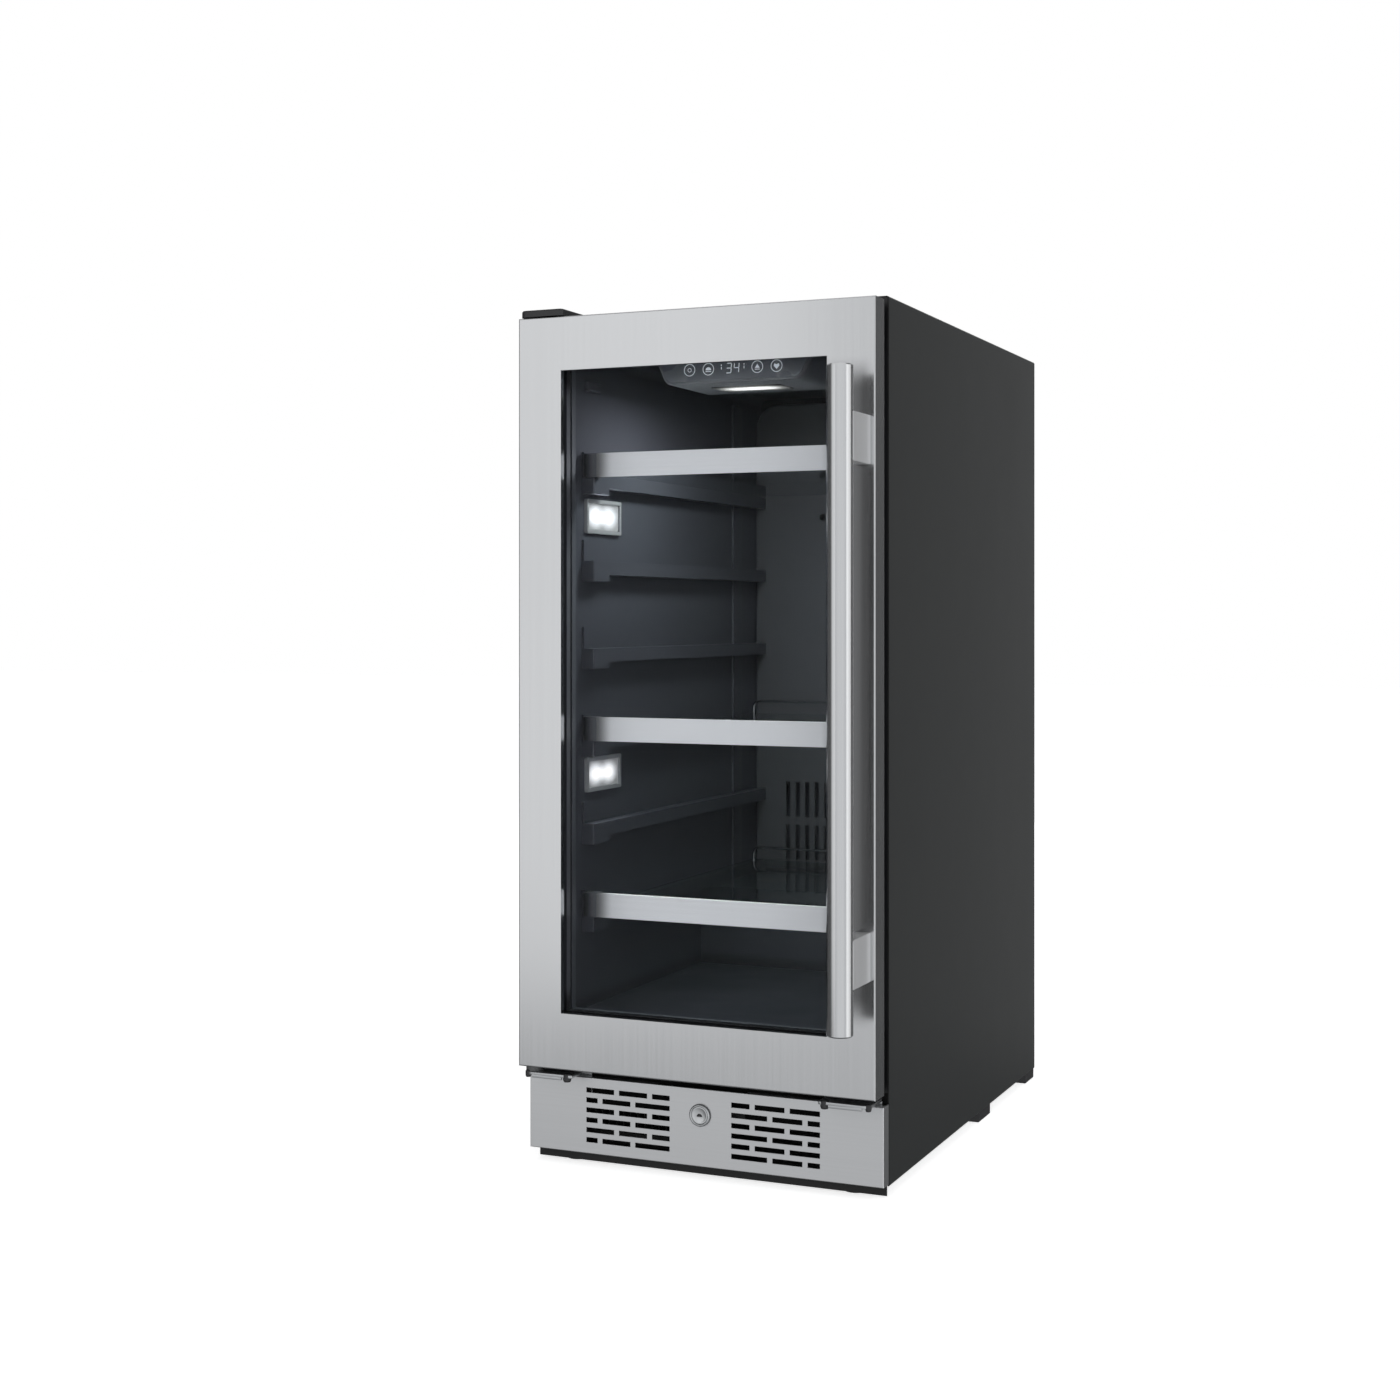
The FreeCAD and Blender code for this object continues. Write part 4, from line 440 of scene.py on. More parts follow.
own_finishes = {
    # Partly painted shade: the base pan, the evaporator and the lock's cam are nearly black, darker than such
    # parts usually are, so the slots they show through stay dark.
    "base_pan": paint("pan_black", (0.008, 0.008, 0.008), (0.015, 0.015, 0.015), 400, (0.55, 0.70)),
    "evaporator": paint("fin_black", (0.006, 0.006, 0.007), (0.011, 0.011, 0.012), 500, (0.5, 0.7)),
    "lock_cam": paint("cam_black", (0.008, 0.008, 0.009), (0.014, 0.014, 0.015), 500, (0.45, 0.60)),
    "condenser_coil": paint("condenser_black", (0.010, 0.010, 0.010), (0.020, 0.020, 0.020), 500,
                            (0.5, 0.7)),
    # Painted light: the kick plate, the handle and its brackets get brighter copies of the door's steel.
    "kick_plate": brushed("kick_steel", "x", lit_steel_tone(1.04), spread=0.4),
    "handle_tube": brushed("handle_steel", "z", lit_steel_tone(1.03), 900, (0.17, 0.21), spread=0.3,
                           shades=handle_rear_shade()),
    "handle_brackets": brushed("bracket_steel", "z", lit_steel_tone(1.1), 500, metal=0.8),
    "side_light_bezels": plated("bezel_plate", (0.36, 0.37, 0.38), (0.34, 0.42), metal=0.3),
    "door_inner_frame": moulded("frame_plastic", (0.085, 0.090, 0.102), (0.100, 0.106, 0.120), 1400,
                                (0.36, 0.50), shades=frame_painted_shade()),
    "ceiling_light_lens": glowing("ceiling_lens", (1.0, 0.985, 0.95), 1.3, shades=lens_gloom()),
    # Partly painted shade: the front rail is near black with little shine, so the slots in front of it stay
    # dark.
    "front_rail": moulded("rail_black", (0.003, 0.003, 0.003), (0.006, 0.006, 0.006), 500, (0.7, 0.9),
                          Specular_IOR_Level=0.1),
    **{f"{shelf}_trim": trim_steel for shelf in SHELVES},
    **{f"{shelf}_end_caps": cap_plastic for shelf in SHELVES},
}

for name, node in nodes.items():
    for holder in node.material_slots:
        holder.material = own_finishes.get(name) or finishes[holder.material.name.split(".")[0]]


# ---- shapes -------------------------------------------------------------------------------------

AXES = {  # where a shape's own first, second and third axes point
    "x": Matrix(((0, 0, 1), (1, 0, 0), (0, 1, 0))),
    "y": Matrix(((1, 0, 0), (0, 0, 1), (0, 1, 0))),
    "z": Matrix.Identity(3),
}


def soften(points, radius, steps=ARC_STEPS, closed=True):
    """Round the corners of a flat line; radius is one number, or one for each corner."""
    points = [Vector(point) for point in points]
    radii = radius if isinstance(radius, (list, tuple)) else [radius] * len(points)
    line = []
    for n, (corner, reach) in enumerate(zip(points, radii)):
        is_end = not closed and n in (0, len(points) - 1)
        if is_end or reach == 0:
            line.append(corner)
            continue
        back = (points[n - 1] - corner).normalized()
        ahead = (points[(n + 1) % len(points)] - corner).normalized()
        half = back.angle(ahead) / 2
        centre = corner + (back + ahead).normalized() * (reach / math.sin(half))
        first = corner + back * (reach / math.tan(half)) - centre
        last = corner + ahead * (reach / math.tan(half)) - centre
        turn = math.copysign(math.pi - 2 * half, first.x * last.y - first.y * last.x)
        for step in range(steps + 1):
            angle = turn * step / steps
            line.append(centre + Matrix.Rotation(angle, 2) @ first)
    return line


def inset(points, distance):
    """Move a closed flat line inward by a distance."""
    area = sum(a.x * b.y - a.y * b.x for a, b in zip(points, points[1:] + points[:1]))
    side = math.copysign(1, area)
    moved = []
    for n, here in enumerate(points):
        arrive = (here - points[n - 1]).normalized()
        leave = (points[(n + 1) % len(points)] - here).normalized()
        normal = Vector((-arrive.y - leave.y, arrive.x + leave.x)) * side
        moved.append(here + normal * (distance / (1 + arrive.dot(leave))))
    return moved


def circle(centre, radius, steps=ROUND_STEPS, start=0.0, turn=math.tau):
    """Points round a circle, or along a part of one."""
    count = steps if turn == math.tau else steps + 1
    angles = [start + turn * step / steps for step in range(count)]
    return [Vector((centre[0] + radius * math.cos(a), centre[1] + radius * math.sin(a))) for a in angles]


def rectangle(left, low, right, high):
    """The corners of a flat rectangle."""
    return [Vector((left, low)), Vector((right, low)), Vector((right, high)), Vector((left, high))]


class Shape:
    """Faces gathered into one mesh, about an origin and with its third axis along x, y or z."""

    def __init__(self, axis="z", origin=(0, 0, 0)):
        self.faces = bmesh.new()
        self.aim(axis, origin)

    def aim(self, axis, origin=(0, 0, 0)):
        """What is added next lies about this origin, with its third axis along this one."""
        self.turn = AXES[axis]
        self.origin = Vector(origin)

    def ring(self, points, height):
        """A ring of corners at one height."""
        places = [self.origin + self.turn @ Vector((across, up, height)) for across, up in points]
        return [self.faces.verts.new(place) for place in places]

    def wall(self, lower, upper):
        """The band between two rings; a ring of one corner is a tip."""
        count = max(len(lower), len(upper))
        for n in range(count):
            after = (n + 1) % count
            low = [lower[0]] if len(lower) == 1 else [lower[n], lower[after]]
            high = [upper[0]] if len(upper) == 1 else [upper[after], upper[n]]
            self.faces.faces.new(low + high)

    def stack(self, layers, closed=False, lids=True):
        """Join layers of (points, height) into a skin; closed joins the last to the first."""
        rings = [self.ring(points, height) for points, height in layers]
        for lower, upper in zip(rings, rings[1:] + (rings[:1] if closed else [])):
            self.wall(lower, upper)
        if lids and not closed:
            for end in (rings[0], rings[-1]):
                if len(end) > 2:
                    self.faces.faces.new(end)

    def lathe(self, profile, closed=False, steps=ROUND_STEPS):
        """Turn a profile of (radius, height) about the third axis; a radius of 0 is a tip."""
        layers = [(circle((0, 0), radius, steps) if radius else [Vector((0, 0))], height)
                  for radius, height in profile]
        self.stack(layers, closed, lids=False)

    def prism(self, points, low, high, edge=0.0, low_edge=None, steps=3):
        """Raise an outline from low to high, with its rims rounded by edge."""
        low_edge = edge if low_edge is None else low_edge
        layers = []
        for rim, end, way in ((low_edge, low, 1), (edge, high, -1)):
            arc = [math.pi / 2 * step / steps for step in range(steps + 1)] if rim else [math.pi / 2]
            part = [(inset(points, rim * (1 - math.sin(a))), end + way * rim * (1 - math.cos(a)))
                    for a in arc]
            layers += part if way == 1 else part[::-1]
        self.stack(layers)

    def pocket(self, rim, hole, height, depth):
        """A flat face with a hole sunk into it; returns the face's outer ring."""
        outer = self.ring(rim, height)
        inner = self.ring(hole, height)
        edges = []
        for loop in (outer, inner):
            for n, corner in enumerate(loop):
                edges.append(self.faces.edges.new((corner, loop[(n + 1) % len(loop)])))
        bmesh.ops.triangle_fill(self.faces, use_beauty=True, edges=edges)
        floor_ring = self.ring(hole, height - depth)
        self.wall(inner, floor_ring)
        self.faces.faces.new(floor_ring)
        return outer

    def piece(self, name, finish, body, replaces=(), crease=32):
        """Make the mesh an object that rides on a body, smooth but for its sharp turns."""
        bmesh.ops.recalc_face_normals(self.faces, faces=self.faces.faces)
        mesh = bpy.data.meshes.new(name)
        self.faces.to_mesh(mesh)
        self.faces.free()
        mesh.polygons.foreach_set("use_smooth", [True] * len(mesh.polygons))
        mesh.set_sharp_from_angle(angle=math.radians(crease))
        mesh.materials.append(finish)
        made = bpy.data.objects.new(name, mesh)
        bpy.context.scene.collection.objects.link(made)
        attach(made, body)
        if replaces:
            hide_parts(*replaces)
        return made


# ---- control pod --------------------------------------------------------------------------------

POD_TAPER = 76 / 90  # the pod's width below, as a share of its width above
POD_CORNER = 0.012
POD_SKIRT = 0.0035  # how far the pod's front rim is rounded
KEY_PLACES = (-0.048, -0.027, 0.027, 0.048)  # of the touch keys along X
KEY_RISE = 0.0145  # their middle, above the face's lower edge
KEY_RING = (0.0063, 0.0056)  # the outer and inner radius of the ring round a key
PRINT_THICK = 0.00012
DIGIT_BARS = {"3": "abgcd", "4": "fgbc"}  # lit bars of a seven-bar digit
DIGIT_PLACES = {"3": -0.0072, "4": 0.0012}  # the digits' left sides


def pod_outline(half_top, half_low, low, high, corner):
    """The pod's face: narrower below, with two round lower corners."""
    points = [Vector((-half_top, high)), Vector((-half_low, low)), Vector((half_low, low)),
              Vector((half_top, high))]
    return soften(points, [0, corner, corner, 0], steps=10)


def digit_bars(left, low, wide, tall, thick, lit):
    """The bars of one digit as flat outlines, leaning a little to the right."""
    lean = 0.08
    right, top, middle = left + wide, low + tall, low + tall / 2
    gap = thick * 0.6
    lines = {
        "a": ((left + gap, top), (right - gap, top)), "g": ((left + gap, middle), (right - gap, middle)),
        "d": ((left + gap, low), (right - gap, low)), "f": ((left, middle + gap), (left, top - gap)),
        "b": ((right, middle + gap), (right, top - gap)), "e": ((left, low + gap), (left, middle - gap)),
        "c": ((right, low + gap), (right, middle - gap)),
    }
    for bar in lit:
        start, end = (Vector(point) for point in lines[bar])
        ahead = (end - start).normalized() * thick / 2
        aside = Vector((-ahead.y, ahead.x))
        corners = [start - ahead, start - aside, end - aside, end + ahead, end + aside, start + aside]
        yield [Vector((p.x + lean * (p.y - low), p.y)) for p in corners]


def control_pod():
    """The moulded pod under the ceiling, and its touch face."""
    _, low, high = ends("control_housing")
    _, face_low, face_high = ends("touch_panel")
    half_low = (face_high.x - face_low.x) / 2 * POD_TAPER
    steps = 4
    layers = []
    for step in range(steps + 1):
        angle = math.pi / 2 * step / steps
        rim = POD_SKIRT * (1 - math.sin(angle))
        layers.append((pod_outline(high.x - rim, half_low - rim, low.z + rim, high.z, POD_CORNER),
                       low.y + POD_SKIRT * (1 - math.cos(angle))))
    for share, shrink, ahead in ((1.0, 0, 0.03), (0.985, 0.002, 0.006), (0.96, 0.004, 0)):  # to the rear
        layers.append((pod_outline(high.x * share, half_low - 2 * shrink, low.z + 3 * shrink, high.z,
                                   POD_CORNER), high.y - ahead))
    body = Shape("y")
    body.stack(layers)
    body.piece("control_pod", finishes["duct_plastic"], "cabinet", ["control_housing"])

    glass = Shape("y")
    plate = pod_outline(face_high.x - POD_SKIRT, half_low - POD_SKIRT, face_low.z + POD_SKIRT, face_high.z,
                        POD_CORNER - POD_SKIRT)
    glass.prism(plate, face_low.y, low.y + POD_SKIRT, 0.0, 0.0006)
    glass.piece("touch_face", finishes["panel_glass"], "cabinet", ["touch_panel"])


def touch_marks():
    """The lit print on the face: a ring and a sign for each key, two colons and the temperature."""
    _, face_low, _ = ends("touch_panel")
    front, rear = face_low.y - PRINT_THICK, face_low.y + PRINT_THICK
    z = face_low.z + KEY_RISE
    power, bell, lamp, heart = KEY_PLACES

    marks = Shape("y")
    rings = [((x, z), *KEY_RING, 40) for x in KEY_PLACES] + [((power, z), 0.0022, 0.0016, 24)]
    for centre, outer, inner, sides in rings:
        marks.stack([(circle(centre, outer, sides), front), (circle(centre, inner, sides), front),
                     (circle(centre, inner, sides), rear), (circle(centre, outer, sides), rear)],
                    closed=True)
    heart_half = [(0, -0.0034), (0.0032, 0.0002), (0.0024, 0.0026), (0, 0.0014)]
    heart_line = heart_half + [(-x, up) for x, up in heart_half[2:0:-1]]
    outlines = [
        circle((bell, z - 0.001), 0.0031, 16, 0, math.pi),
        rectangle(bell - 0.0031, z - 0.0027, bell + 0.0031, z - 0.0019),
        [Vector((lamp + x, z + up)) for x, up in ((0, 0.0030), (-0.0027, -0.0012), (0.0027, -0.0012))],
        rectangle(lamp - 0.0027, z - 0.0029, lamp + 0.0027, z - 0.0021),
        soften([(heart + x, z + up) for x, up in heart_line], [0, 0.0006, 0.0006, 0, 0.0006, 0.0006], 3),
    ]
    for x in (-0.0125, 0.0125):
        outlines += [circle((x, z + 0.0035), 0.0007, 12),
                     rectangle(x - 0.0004, z - 0.0010, x + 0.0004, z + 0.0018)]
    for outline in outlines:
        marks.prism(outline, front, rear)
    marks.piece("touch_marks", lit_marks, "cabinet")

    wide, tall, thick = 0.0052, 0.0098, 0.0009
    digits = Shape("y")
    for digit, left in DIGIT_PLACES.items():
        for bar in digit_bars(left, z - 0.0048, wide, tall, thick, DIGIT_BARS[digit]):
            digits.prism(bar, front, rear)
    digits.piece("temperature", lit_marks, "cabinet")


lit_marks = glowing("lit_marks", (0.62, 0.66, 0.70), 0.55, 3000)
control_pod()
touch_marks()


# ---- kick plate lock ----------------------------------------------------------------------------


def lock():
    """The ring on the kick plate, and the cylinder that turns in it with its keyway."""
    centre, low, high = ends("lock_housing")
    radius = (high.x - low.x) / 2
    sleeve = radius - 0.0009
    core, core_low, core_high = ends("lock_cylinder")
    core_radius = (core_high.x - core_low.x) / 2
    bore = core_radius + 0.00006
    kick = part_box("kick_plate")[0].y
    bead, lip = 0.0011, 0.0007
    profile = soften(
        [(bore, high.y), (bore, low.y + lip), (bore + lip, low.y), (radius - bead, low.y),
         (radius, low.y + bead), (radius, kick), (sleeve, kick), (sleeve, high.y)],
        [0, 0.0003, 0.0004, 0.0008, 0.0008, 0, 0, 0.0004])
    ring = Shape("y", (centre.x, 0, centre.z))
    ring.lathe(profile, closed=True)
    ring.piece("lock_ring", lock_steel, "cabinet", ["lock_housing"])

    cylinder = Shape("y", (core.x, 0, core.z))
    front = core_low.y
    keyway = circle((0, -0.0013), 0.0030, 14, 0, math.pi)
    dish = 0.0005
    rim = circle((0, 0), core_radius - 0.0022)
    face = cylinder.pocket(rim, keyway, front + dish, -0.004)
    rounding, tail = 0.0005, 0.0030
    steps = [(core_radius - 0.0018, front + dish * 0.6), (core_radius - 0.0012, front),
             (core_radius - rounding, front), (core_radius - rounding * 0.3, front + rounding * 0.3),
             (core_radius, front + rounding), (core_radius, core_high.y - 0.0072),
             (tail, core_high.y - 0.0070), (tail, core_high.y), (0, core_high.y)]
    rings = [face]
    for reach, y in steps:
        points = circle((0, 0), reach) if reach else [Vector((0, 0))]
        rings.append(cylinder.ring(points, y))
    for inner, outer in zip(rings, rings[1:]):
        cylinder.wall(inner, outer)
    cylinder.piece("lock_core", core_steel, "lock", ["lock_cylinder"])

    plug = Shape("y", (core.x, 0, core.z))
    plug.prism(inset(keyway, 0.00002), front + dish + 0.0006, front + dish + 0.0038, 0.0002)
    plug.piece("lock_keyway", finishes["black_plastic"], "lock")


lock_front = ends("lock_housing")[1].y
core_steel = plated("core_steel", (0.66, 0.67, 0.68), (0.26, 0.36))
# Painted shade: the lock ring's side, behind its front, is darkened.
lock_steel = plated("lock_steel", (0.60, 0.61, 0.62), (0.26, 0.36),
                    shades=[(0.12, ("y", lock_front + 0.0006, lock_front + 0.0013))])
lock()


# ---- levelling feet -----------------------------------------------------------------------------


def levelling_foot(side):
    """A threaded stem on a hexagon nut and a rubber pad."""
    node = f"{side}_leveling_foot"
    centre, low, high = ends(node)
    pad = (high.x - low.x) / 2
    stem, pitch, depth = 0.0040, 0.00125, 0.00055
    pad_top = low.z + 0.0072
    foot = Shape("z", (centre.x, centre.y, 0))
    profile = soften([(0, low.z), (pad - 0.0012, low.z), (pad, low.z + 0.0012), (pad, low.z + 0.0045),
                      (pad - 0.0040, pad_top), (0, pad_top)], [0, 0.0005, 0.0005, 0.001, 0.001, 0], 4, False)
    foot.lathe(profile)
    foot.piece(f"{side}_foot_pad", finishes["foot_rubber"], f"{side}_foot", [node])

    screw = Shape("z", (centre.x, centre.y, 0))
    hexagon = circle((0, 0), 0.0075, 6)
    screw.prism(soften(hexagon, 0.0004, 2), pad_top - 0.0002, pad_top + 0.0018, 0.0003)
    rings = []
    start, sides, rows = pad_top + 0.0018, 28, 6
    count = int((high.z - start) / pitch * rows)
    for row in range(count + 1):
        z = start + row * pitch / rows
        tapped = row <= count - rows  # the last turn is plain
        ring = []
        for corner in range(sides):
            angle = math.tau * corner / sides
            wave = abs(2 * ((row / rows - corner / sides) % 1.0) - 1)
            reach = stem - depth * (wave if tapped else 1.0)
            ring.append(Vector((reach * math.cos(angle), reach * math.sin(angle))))
        rings.append((ring, z))
    screw.stack(rings)
    screw.piece(f"{side}_foot_screw", finishes["chrome"], f"{side}_foot")


for side in ("left", "right"):
    levelling_foot(side)


# ---- lower hinge brackets -----------------------------------------------------------------------


def lower_bracket(side):
    """A folded plate under the door with a thin front lip, and a dark stud at each end."""
    _, low, high = ends("lower_hinge_brackets")
    way = -1 if side == "left" else 1
    outer, inner, tab_end, lip_end = high.x, 0.1305, 0.125, 0.1415
    front, rear = low.y, low.y + 0.038
    plate_low, lip_low = high.z - 0.003, high.z - 0.0053
    corner, lip_thick, tab_thick, edge = 0.008, 0.0022, 0.0025, 0.0005

    def plan(corners, radii):
        return soften([Vector((x * way, y)) for x, y in corners], radii, 8)

    bracket = Shape("z")
    plate = [(inner, front + 0.001), (outer, front), (outer, rear), (inner, rear)]
    bracket.prism(plan(plate, [0.003, corner, edge, edge]), plate_low, high.z, edge)
    lip = [(lip_end, front), (outer - corner, front), (outer - corner, front + lip_thick),
           (lip_end, front + lip_thick)]
    bracket.prism(plan(lip, 0.0004), lip_low, plate_low + 0.0006, edge)
    tab = [(tab_end, rear - tab_thick), (outer, rear - tab_thick), (outer, rear), (tab_end, rear)]
    bracket.prism(plan(tab, 0.0004), low.z, high.z, 0.0004)
    bracket.piece(f"lower_bracket_{side}", hinge_steel, "cabinet", ["lower_hinge_brackets"])

    studs = Shape("z")
    for x, back, reach, drop in ((0.1368, 0.0042, 0.0042, 0.0072), (0.1805, 0.0038, 0.0030, 0.0058)):
        studs.aim("z", (x * way, front + back, 0))
        top, bottom = high.z + 0.0012, high.z - drop
        profile = [(0, bottom), (reach * 0.8, bottom), (reach, bottom + 0.0022), (reach, top - 0.0010),
                   (reach * 0.75, top), (0, top)]
        studs.lathe(soften(profile, [0, 0.0006, 0.0006, 0.0005, 0.0005, 0], 4, False), steps=36)
    studs.piece(f"lower_studs_{side}", finishes["black_plastic"], "cabinet")


hinge_steel = plated("hinge_steel", (0.56, 0.57, 0.58), (0.30, 0.40))
for side in ("left", "right"):
    lower_bracket(side)


# ---- liner ribs ---------------------------------------------------------------------------------


def wall_ribs():
    """An upright rib on each side wall of the liner, just in front of the air duct."""
    _, duct_low, duct_high = ends("air_duct_cover")
    wall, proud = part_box("shelf_rails")[1].x, 0.0027
    front, rear = duct_low.y - 0.0757, duct_low.y - 0.0503
    ribs = Shape("x")
    outline = soften(rectangle(front, duct_low.z + 0.001, rear, duct_high.z - 0.006), 0.006, 8)
    ribs.prism(outline, -wall, -wall + proud, 0.0022, 0, steps=5)
    ribs.prism(outline, wall - proud, wall, 0, 0.0022, steps=5)
    ribs.piece("wall_ribs", finishes["liner_plastic"], "cabinet")


wall_ribs()


# ---- upper hinge cover --------------------------------------------------------------------------


def hinge_cover():
    """A low moulded cap with a shallow boss over the pin; the bracket's screws stand through it."""
    _, low, high = ends("upper_hinge_cover")
    pin, _, _ = ends("hinge_pins")
    deck = high.z - 0.0029
    rim, steps = 0.0013, 6
    cap = Shape("z")
    plan = soften(rectangle(low.x, low.y, high.x, high.y), [0.007, 0.004, 0.004, 0.007], 8)
    layers = [(plan, low.z), (plan, deck - rim * 2)]
    for step in range(1, steps + 1):
        angle = math.pi / 2 * step / steps
        layers.append((inset(plan, rim * (1 - math.cos(angle))), deck + rim * 2 * (math.sin(angle) - 1)))
    cap.stack(layers)
    cap.prism(circle((pin.x, pin.y), 0.0062, 48), deck - 0.0006, deck + 0.0004, 0.0004, 0)
    cap.piece("hinge_cap", finishes["black_plastic"], "cabinet", ["upper_hinge_cover"])


hinge_cover()


# ---- door seal ----------------------------------------------------------------------------------


def door_seal():
    """The seal's bellows and magnet bead, mitred at the corners."""
    _, low, high = ends("door_gasket")
    loop = rectangle(low.x, low.z, high.x, high.z)
    wide, deep, root = 0.016, high.y - low.y, 0.0026
    section = [
        (0.0, 0.0), (0.0, root * 0.6), (0.0018, root), (0.0006, root + 0.0012), (0.0008, deep - 0.0022),
        (0.0026, deep), (wide - 0.0046, deep), (wide - 0.0024, deep - 0.0018),
        (wide - 0.0044, root + 0.0014), (wide - 0.0014, root), (wide, root * 0.5), (wide, 0.0),
    ]
    radii = [0, 0.0006, 0.0006, 0.0006, 0.0010, 0.0012, 0.0012, 0.0010, 0.0008, 0.0006, 0.0004, 0]
    seal = Shape("y")
    seal.stack([(inset(loop, across), low.y + back) for across, back in soften(section, radii, 4)],
               closed=True)
    seal.piece("door_seal", finishes["seal_rubber"], "door", ["door_gasket"], crease=50)


door_seal()


# ---- lamps on the left wall ---------------------------------------------------------------------

SPOT_PLACES = (-0.01675, 0.01225)  # of a lamp's two light spots, from its lens's middle along Y
SPOT_REACH = 0.0145  # how far a spot's glow goes up and down
SPOT_STRETCH = 1.7  # and how many times as far along Y
LAMP_TALL = 0.0355


def spot_lit(name):
    """A lens over two light spots, brightest in front of each."""
    finish = Finish(name, Roughness=0.3)
    here = finish.make("TexCoord").outputs["Object"]
    wide = SPOT_STRETCH * SPOT_REACH
    glow = 0.0
    for aside in SPOT_PLACES:
        near = finish.make("Mapping", {"Vector": here, "Scale": (1 / SPOT_REACH, 1 / wide, 1 / SPOT_REACH)})
        near.inputs["Location"].default_value = (0, -aside / wide, 0)
        ball = finish.make("TexGradient", {"Vector": near.outputs["Vector"]}, gradient_type="SPHERICAL")
        glow = finish.add(glow, finish.add(ball.outputs["Fac"], 1.3, "POWER"))
    rib = finish.noise((300, 60, 900), detail=1)
    finish.feed("Base Color", finish.tint(rib, (0.30, 0.31, 0.32), (0.40, 0.41, 0.42)))
    finish.feed("Emission Color", finish.tint(rib, (0.94, 0.95, 0.97), (1.0, 1.0, 1.0)))
    finish.feed("Emission Strength", finish.add(finish.add(glow, 1.7, "MULTIPLY"), 0.10))
    finish.bump(rib, 0.00003)
    return finish.material


def side_lamps():
    """Each lamp's lens: a pillowed plate with two domes over its light spots."""
    _, low, high = ends("side_light_lenses")
    rim = low.z - ends("side_light_bezels")[1].z
    tall = LAMP_TALL - 2 * rim
    deep, half_wide = high.x - low.x, (high.y - low.y) / 2
    dome, dome_rise = 0.0095, 0.0008
    finish = spot_lit("side_lamp_glow")
    for place, bottom in (("low", low.z), ("high", high.z - tall)):
        lens = Shape("x")
        plate = soften(rectangle(-half_wide, -tall / 2, half_wide, tall / 2), 0.002)
        lens.prism(plate, 0, deep - 0.0007, 0.0006, 0)
        for aside in SPOT_PLACES:
            lens.aim("x", (0, aside, 0))
            arc = [math.pi / 2 * step / 6 for step in range(6)]
            swell = [(dome * math.cos(a), deep - dome_rise + dome_rise * math.sin(a)) for a in arc]
            lens.lathe([(0, deep - dome_rise)] + swell + [(0, deep)], steps=48)
        made = lens.piece(f"side_lamp_lens_{place}", finish, "cabinet", ["side_light_lenses"])
        made.location = (low.x, (low.y + high.y) / 2, bottom + tall / 2)


side_lamps()


# ---- back of the cabinet ------------------------------------------------------------------------


def hex_screw(shape, x, z, seat):
    """A hexagon screw with a washer under its head, standing on the back at seat."""
    shape.aim("y", (x, 0, z))
    washer, head = 0.0048, 0.0032
    shape.lathe([(0, seat), (washer, seat), (washer, seat + 0.0004), (washer - 0.0006, seat + 0.0007),
                 (0, seat + 0.0007)], steps=32)
    shape.prism(soften(circle((0, 0), head, 6), 0.0003, 2), seat + 0.0006, seat + 0.0021, 0.0003, 0)


def back_details():
    """Screws round the edges of the back and its lower cover, and pressed beads across the back."""
    _, low, high = ends("rear_panel")
    _, cover_low, cover_high = ends("compressor_cover")
    inset_x, inset_z, seat = 0.009, 0.010, high.y
    screws = Shape()
    top_rows, spacing = 6, 0.1
    for row in range(top_rows):
        z = cover_high.z + inset_z + (high.z - inset_z * 2 - cover_high.z) * row / (top_rows - 1)
        for x in (low.x + inset_x, high.x - inset_x):
            hex_screw(screws, x, z, seat)
    for x in (-spacing, 0.0, spacing):
        hex_screw(screws, x, high.z - inset_z, seat)
        hex_screw(screws, x, cover_high.z - inset_z, seat)
    for z in (cover_low.z + inset_z, (cover_low.z + cover_high.z) / 2, cover_high.z - inset_z):
        for x in (cover_low.x + inset_x, cover_high.x - inset_x):
            hex_screw(screws, x, z, seat)
    screws.piece("back_screws", finishes["chrome"], "cabinet")

    beads = Shape("y")
    half_long, half_tall, count = 0.145, 0.007, 4
    start, end = cover_high.z + 0.10, high.z - 0.09
    gap = (end - start) / (count - 1)
    for row in range(count):
        z = start + gap * row
        outline = soften(rectangle(-half_long, z - half_tall, half_long, z + half_tall), half_tall * 0.98, 10)
        beads.prism(outline, seat, seat + 0.0016, 0.0015, 0, steps=5)
    beads.piece("back_beads", finishes["bare_steel"], "cabinet")


back_details()


# ---- lights, floor and camera -------------------------------------------------------------------


def studio_world():
    """White behind the object; for its own light and reflections, a room bright in front and above."""
    world = bpy.data.worlds.new("studio")
    world.use_nodes = True
    bpy.context.scene.world = world
    tree = world.node_tree
    toward = add_node(tree, "TexCoord").outputs["Generated"]
    bright_side = Vector((0.45, -0.88, 0.12)).normalized()
    facing = add_node(tree, "VectorMath", {0: toward, 1: bright_side}, operation="DOT_PRODUCT")
    level = add_node(tree, "MapRange", {"Value": facing.outputs["Value"], "From Min": 0.0, "From Max": 0.9,
                                        "To Min": 0.10, "To Max": 0.82})
    room = tree.nodes["Background"]
    room.inputs["Color"].default_value = (0.97, 0.985, 1.0, 1)
    tree.links.new(level.outputs["Result"], room.inputs["Strength"])
    backdrop = add_node(tree, "Background", {"Color": (1, 1, 1, 1), "Strength": 1.0})
    seen = add_node(tree, "LightPath").outputs
    bounces = add_node(tree, "Math", {0: seen["Diffuse Depth"], 1: seen["Glossy Depth"]})
    direct = add_node(tree, "Math", {0: bounces.outputs[0], 1: 0.5}, operation="LESS_THAN")
    choice = add_node(tree, "MixShader", {0: direct.outputs[0], 1: room.outputs["Background"],
                                          2: backdrop.outputs["Background"]})
    tree.links.new(choice.outputs["Shader"], tree.nodes["World Output"].inputs["Surface"])


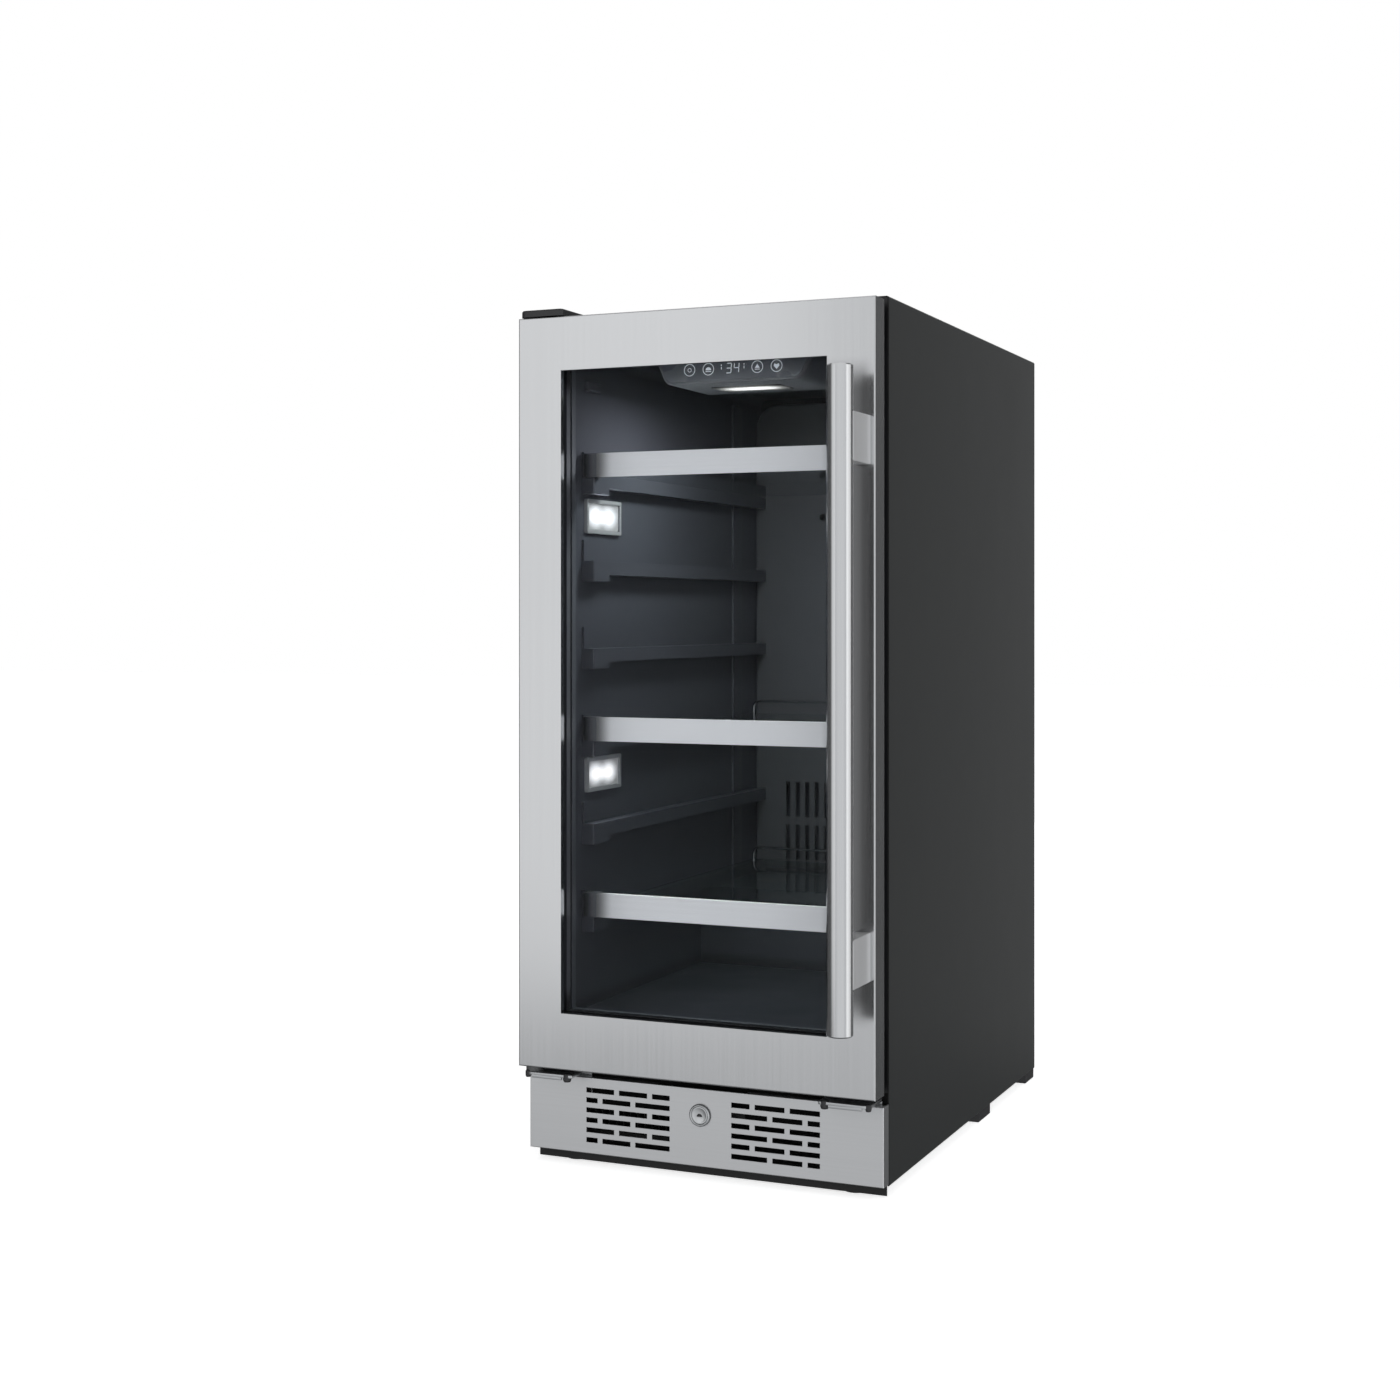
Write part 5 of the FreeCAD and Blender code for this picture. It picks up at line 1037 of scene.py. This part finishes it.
def softbox(name, place, target, width, tall, radiance, mirrored=True):
    """A rectangular light that faces a target; mirrored says whether reflections and glass show it."""
    lamp = bpy.data.lights.new(name, "AREA")
    lamp.shape = "RECTANGLE"
    lamp.size = width
    lamp.size_y = tall
    lamp.energy = radiance * math.pi * width * tall
    light = bpy.data.objects.new(name, lamp)
    light.location = place
    light.rotation_euler = (Vector(target) - Vector(place)).to_track_quat("-Z", "Y").to_euler()
    light.visible_camera = False
    light.visible_glossy = mirrored
    light.visible_transmission = mirrored
    bpy.context.scene.collection.objects.link(light)


def floor():
    """A wide pale floor."""
    half = 14
    mesh = bpy.data.meshes.new("floor")
    corners = [(-half, -half, 0), (half, -half, 0), (half, half, 0), (-half, half, 0)]
    mesh.from_pydata(corners, [], [(0, 1, 2, 3)])
    finish = Finish("floor_paint", Roughness=0.7, Emission_Strength=0.72)
    cloud = finish.noise((0.8, 0.8, 0.8), detail=4)
    finish.feed("Base Color", finish.tint(cloud, (0.90, 0.90, 0.90), (0.93, 0.93, 0.93)))
    mesh.materials.append(finish.material)
    ground = bpy.data.objects.new("floor", mesh)
    ground.visible_glossy = False
    ground.visible_transmission = False
    bpy.context.scene.collection.objects.link(ground)


def camera():
    """The view: at eye level, from the front and a little to the right."""
    lens = bpy.data.cameras.new("camera")
    lens.sensor_width = 36
    lens.lens = 51.975
    lens.shift_y = -0.0601
    lens.clip_start = 0.05
    lens.clip_end = 60
    eye = bpy.data.objects.new("camera", lens)
    eye.location = (0.79645, -2.05613, 0.55409)
    eye.rotation_euler = (math.radians(90), 0, math.radians(23.692))
    bpy.context.scene.collection.objects.link(eye)
    bpy.context.scene.camera = eye


def studio_lights():
    """Large soft lights round the object."""
    middle = (cad_box[0] + cad_box[1]) / 2
    softbox("key", (-1.35, -2.25, 1.4), (0, 0, 1.4), 1.5, 3.4, 0.42)
    softbox("side", (2.45, 0.20, 0.6), middle, 2.2, 4.4, 0.78)
    softbox("inner", (1.3, -2.4, 0.7), (-0.05, 0, 0.45), 1.4, 1.6, 1.35, False)
    softbox("rear", (-0.35, 3.2, 0.8), middle, 2.2, 3.0, 0.5)
    softbox("top", (-0.2, 0.2, 3.2), middle, 2.5, 2.5, 0.7)


def cabin_lights():
    """The lamp under the ceiling and the two on the left wall."""
    radiance = 95
    centre, low, _ = ends("ceiling_light_lens")
    centre.z = low.z - 0.001
    softbox("cabin_top", centre, centre - Vector((0, 0, 1)), 0.08, 0.05, radiance, False)
    centre, low, high = ends("side_light_lenses")
    aside = 0.018  # a lamp's middle, from the end of both lenses' box
    for z in (low.z + aside, high.z - aside):
        place = Vector((high.x + 0.004, centre.y, z))
        softbox("cabin_side", place, place + Vector((1, 0, 0)), 0.06, 0.03, radiance, False)


studio_world()
floor()
camera()
bpy.context.scene.view_settings.view_transform = "Standard"
studio_lights()
cabin_lights()
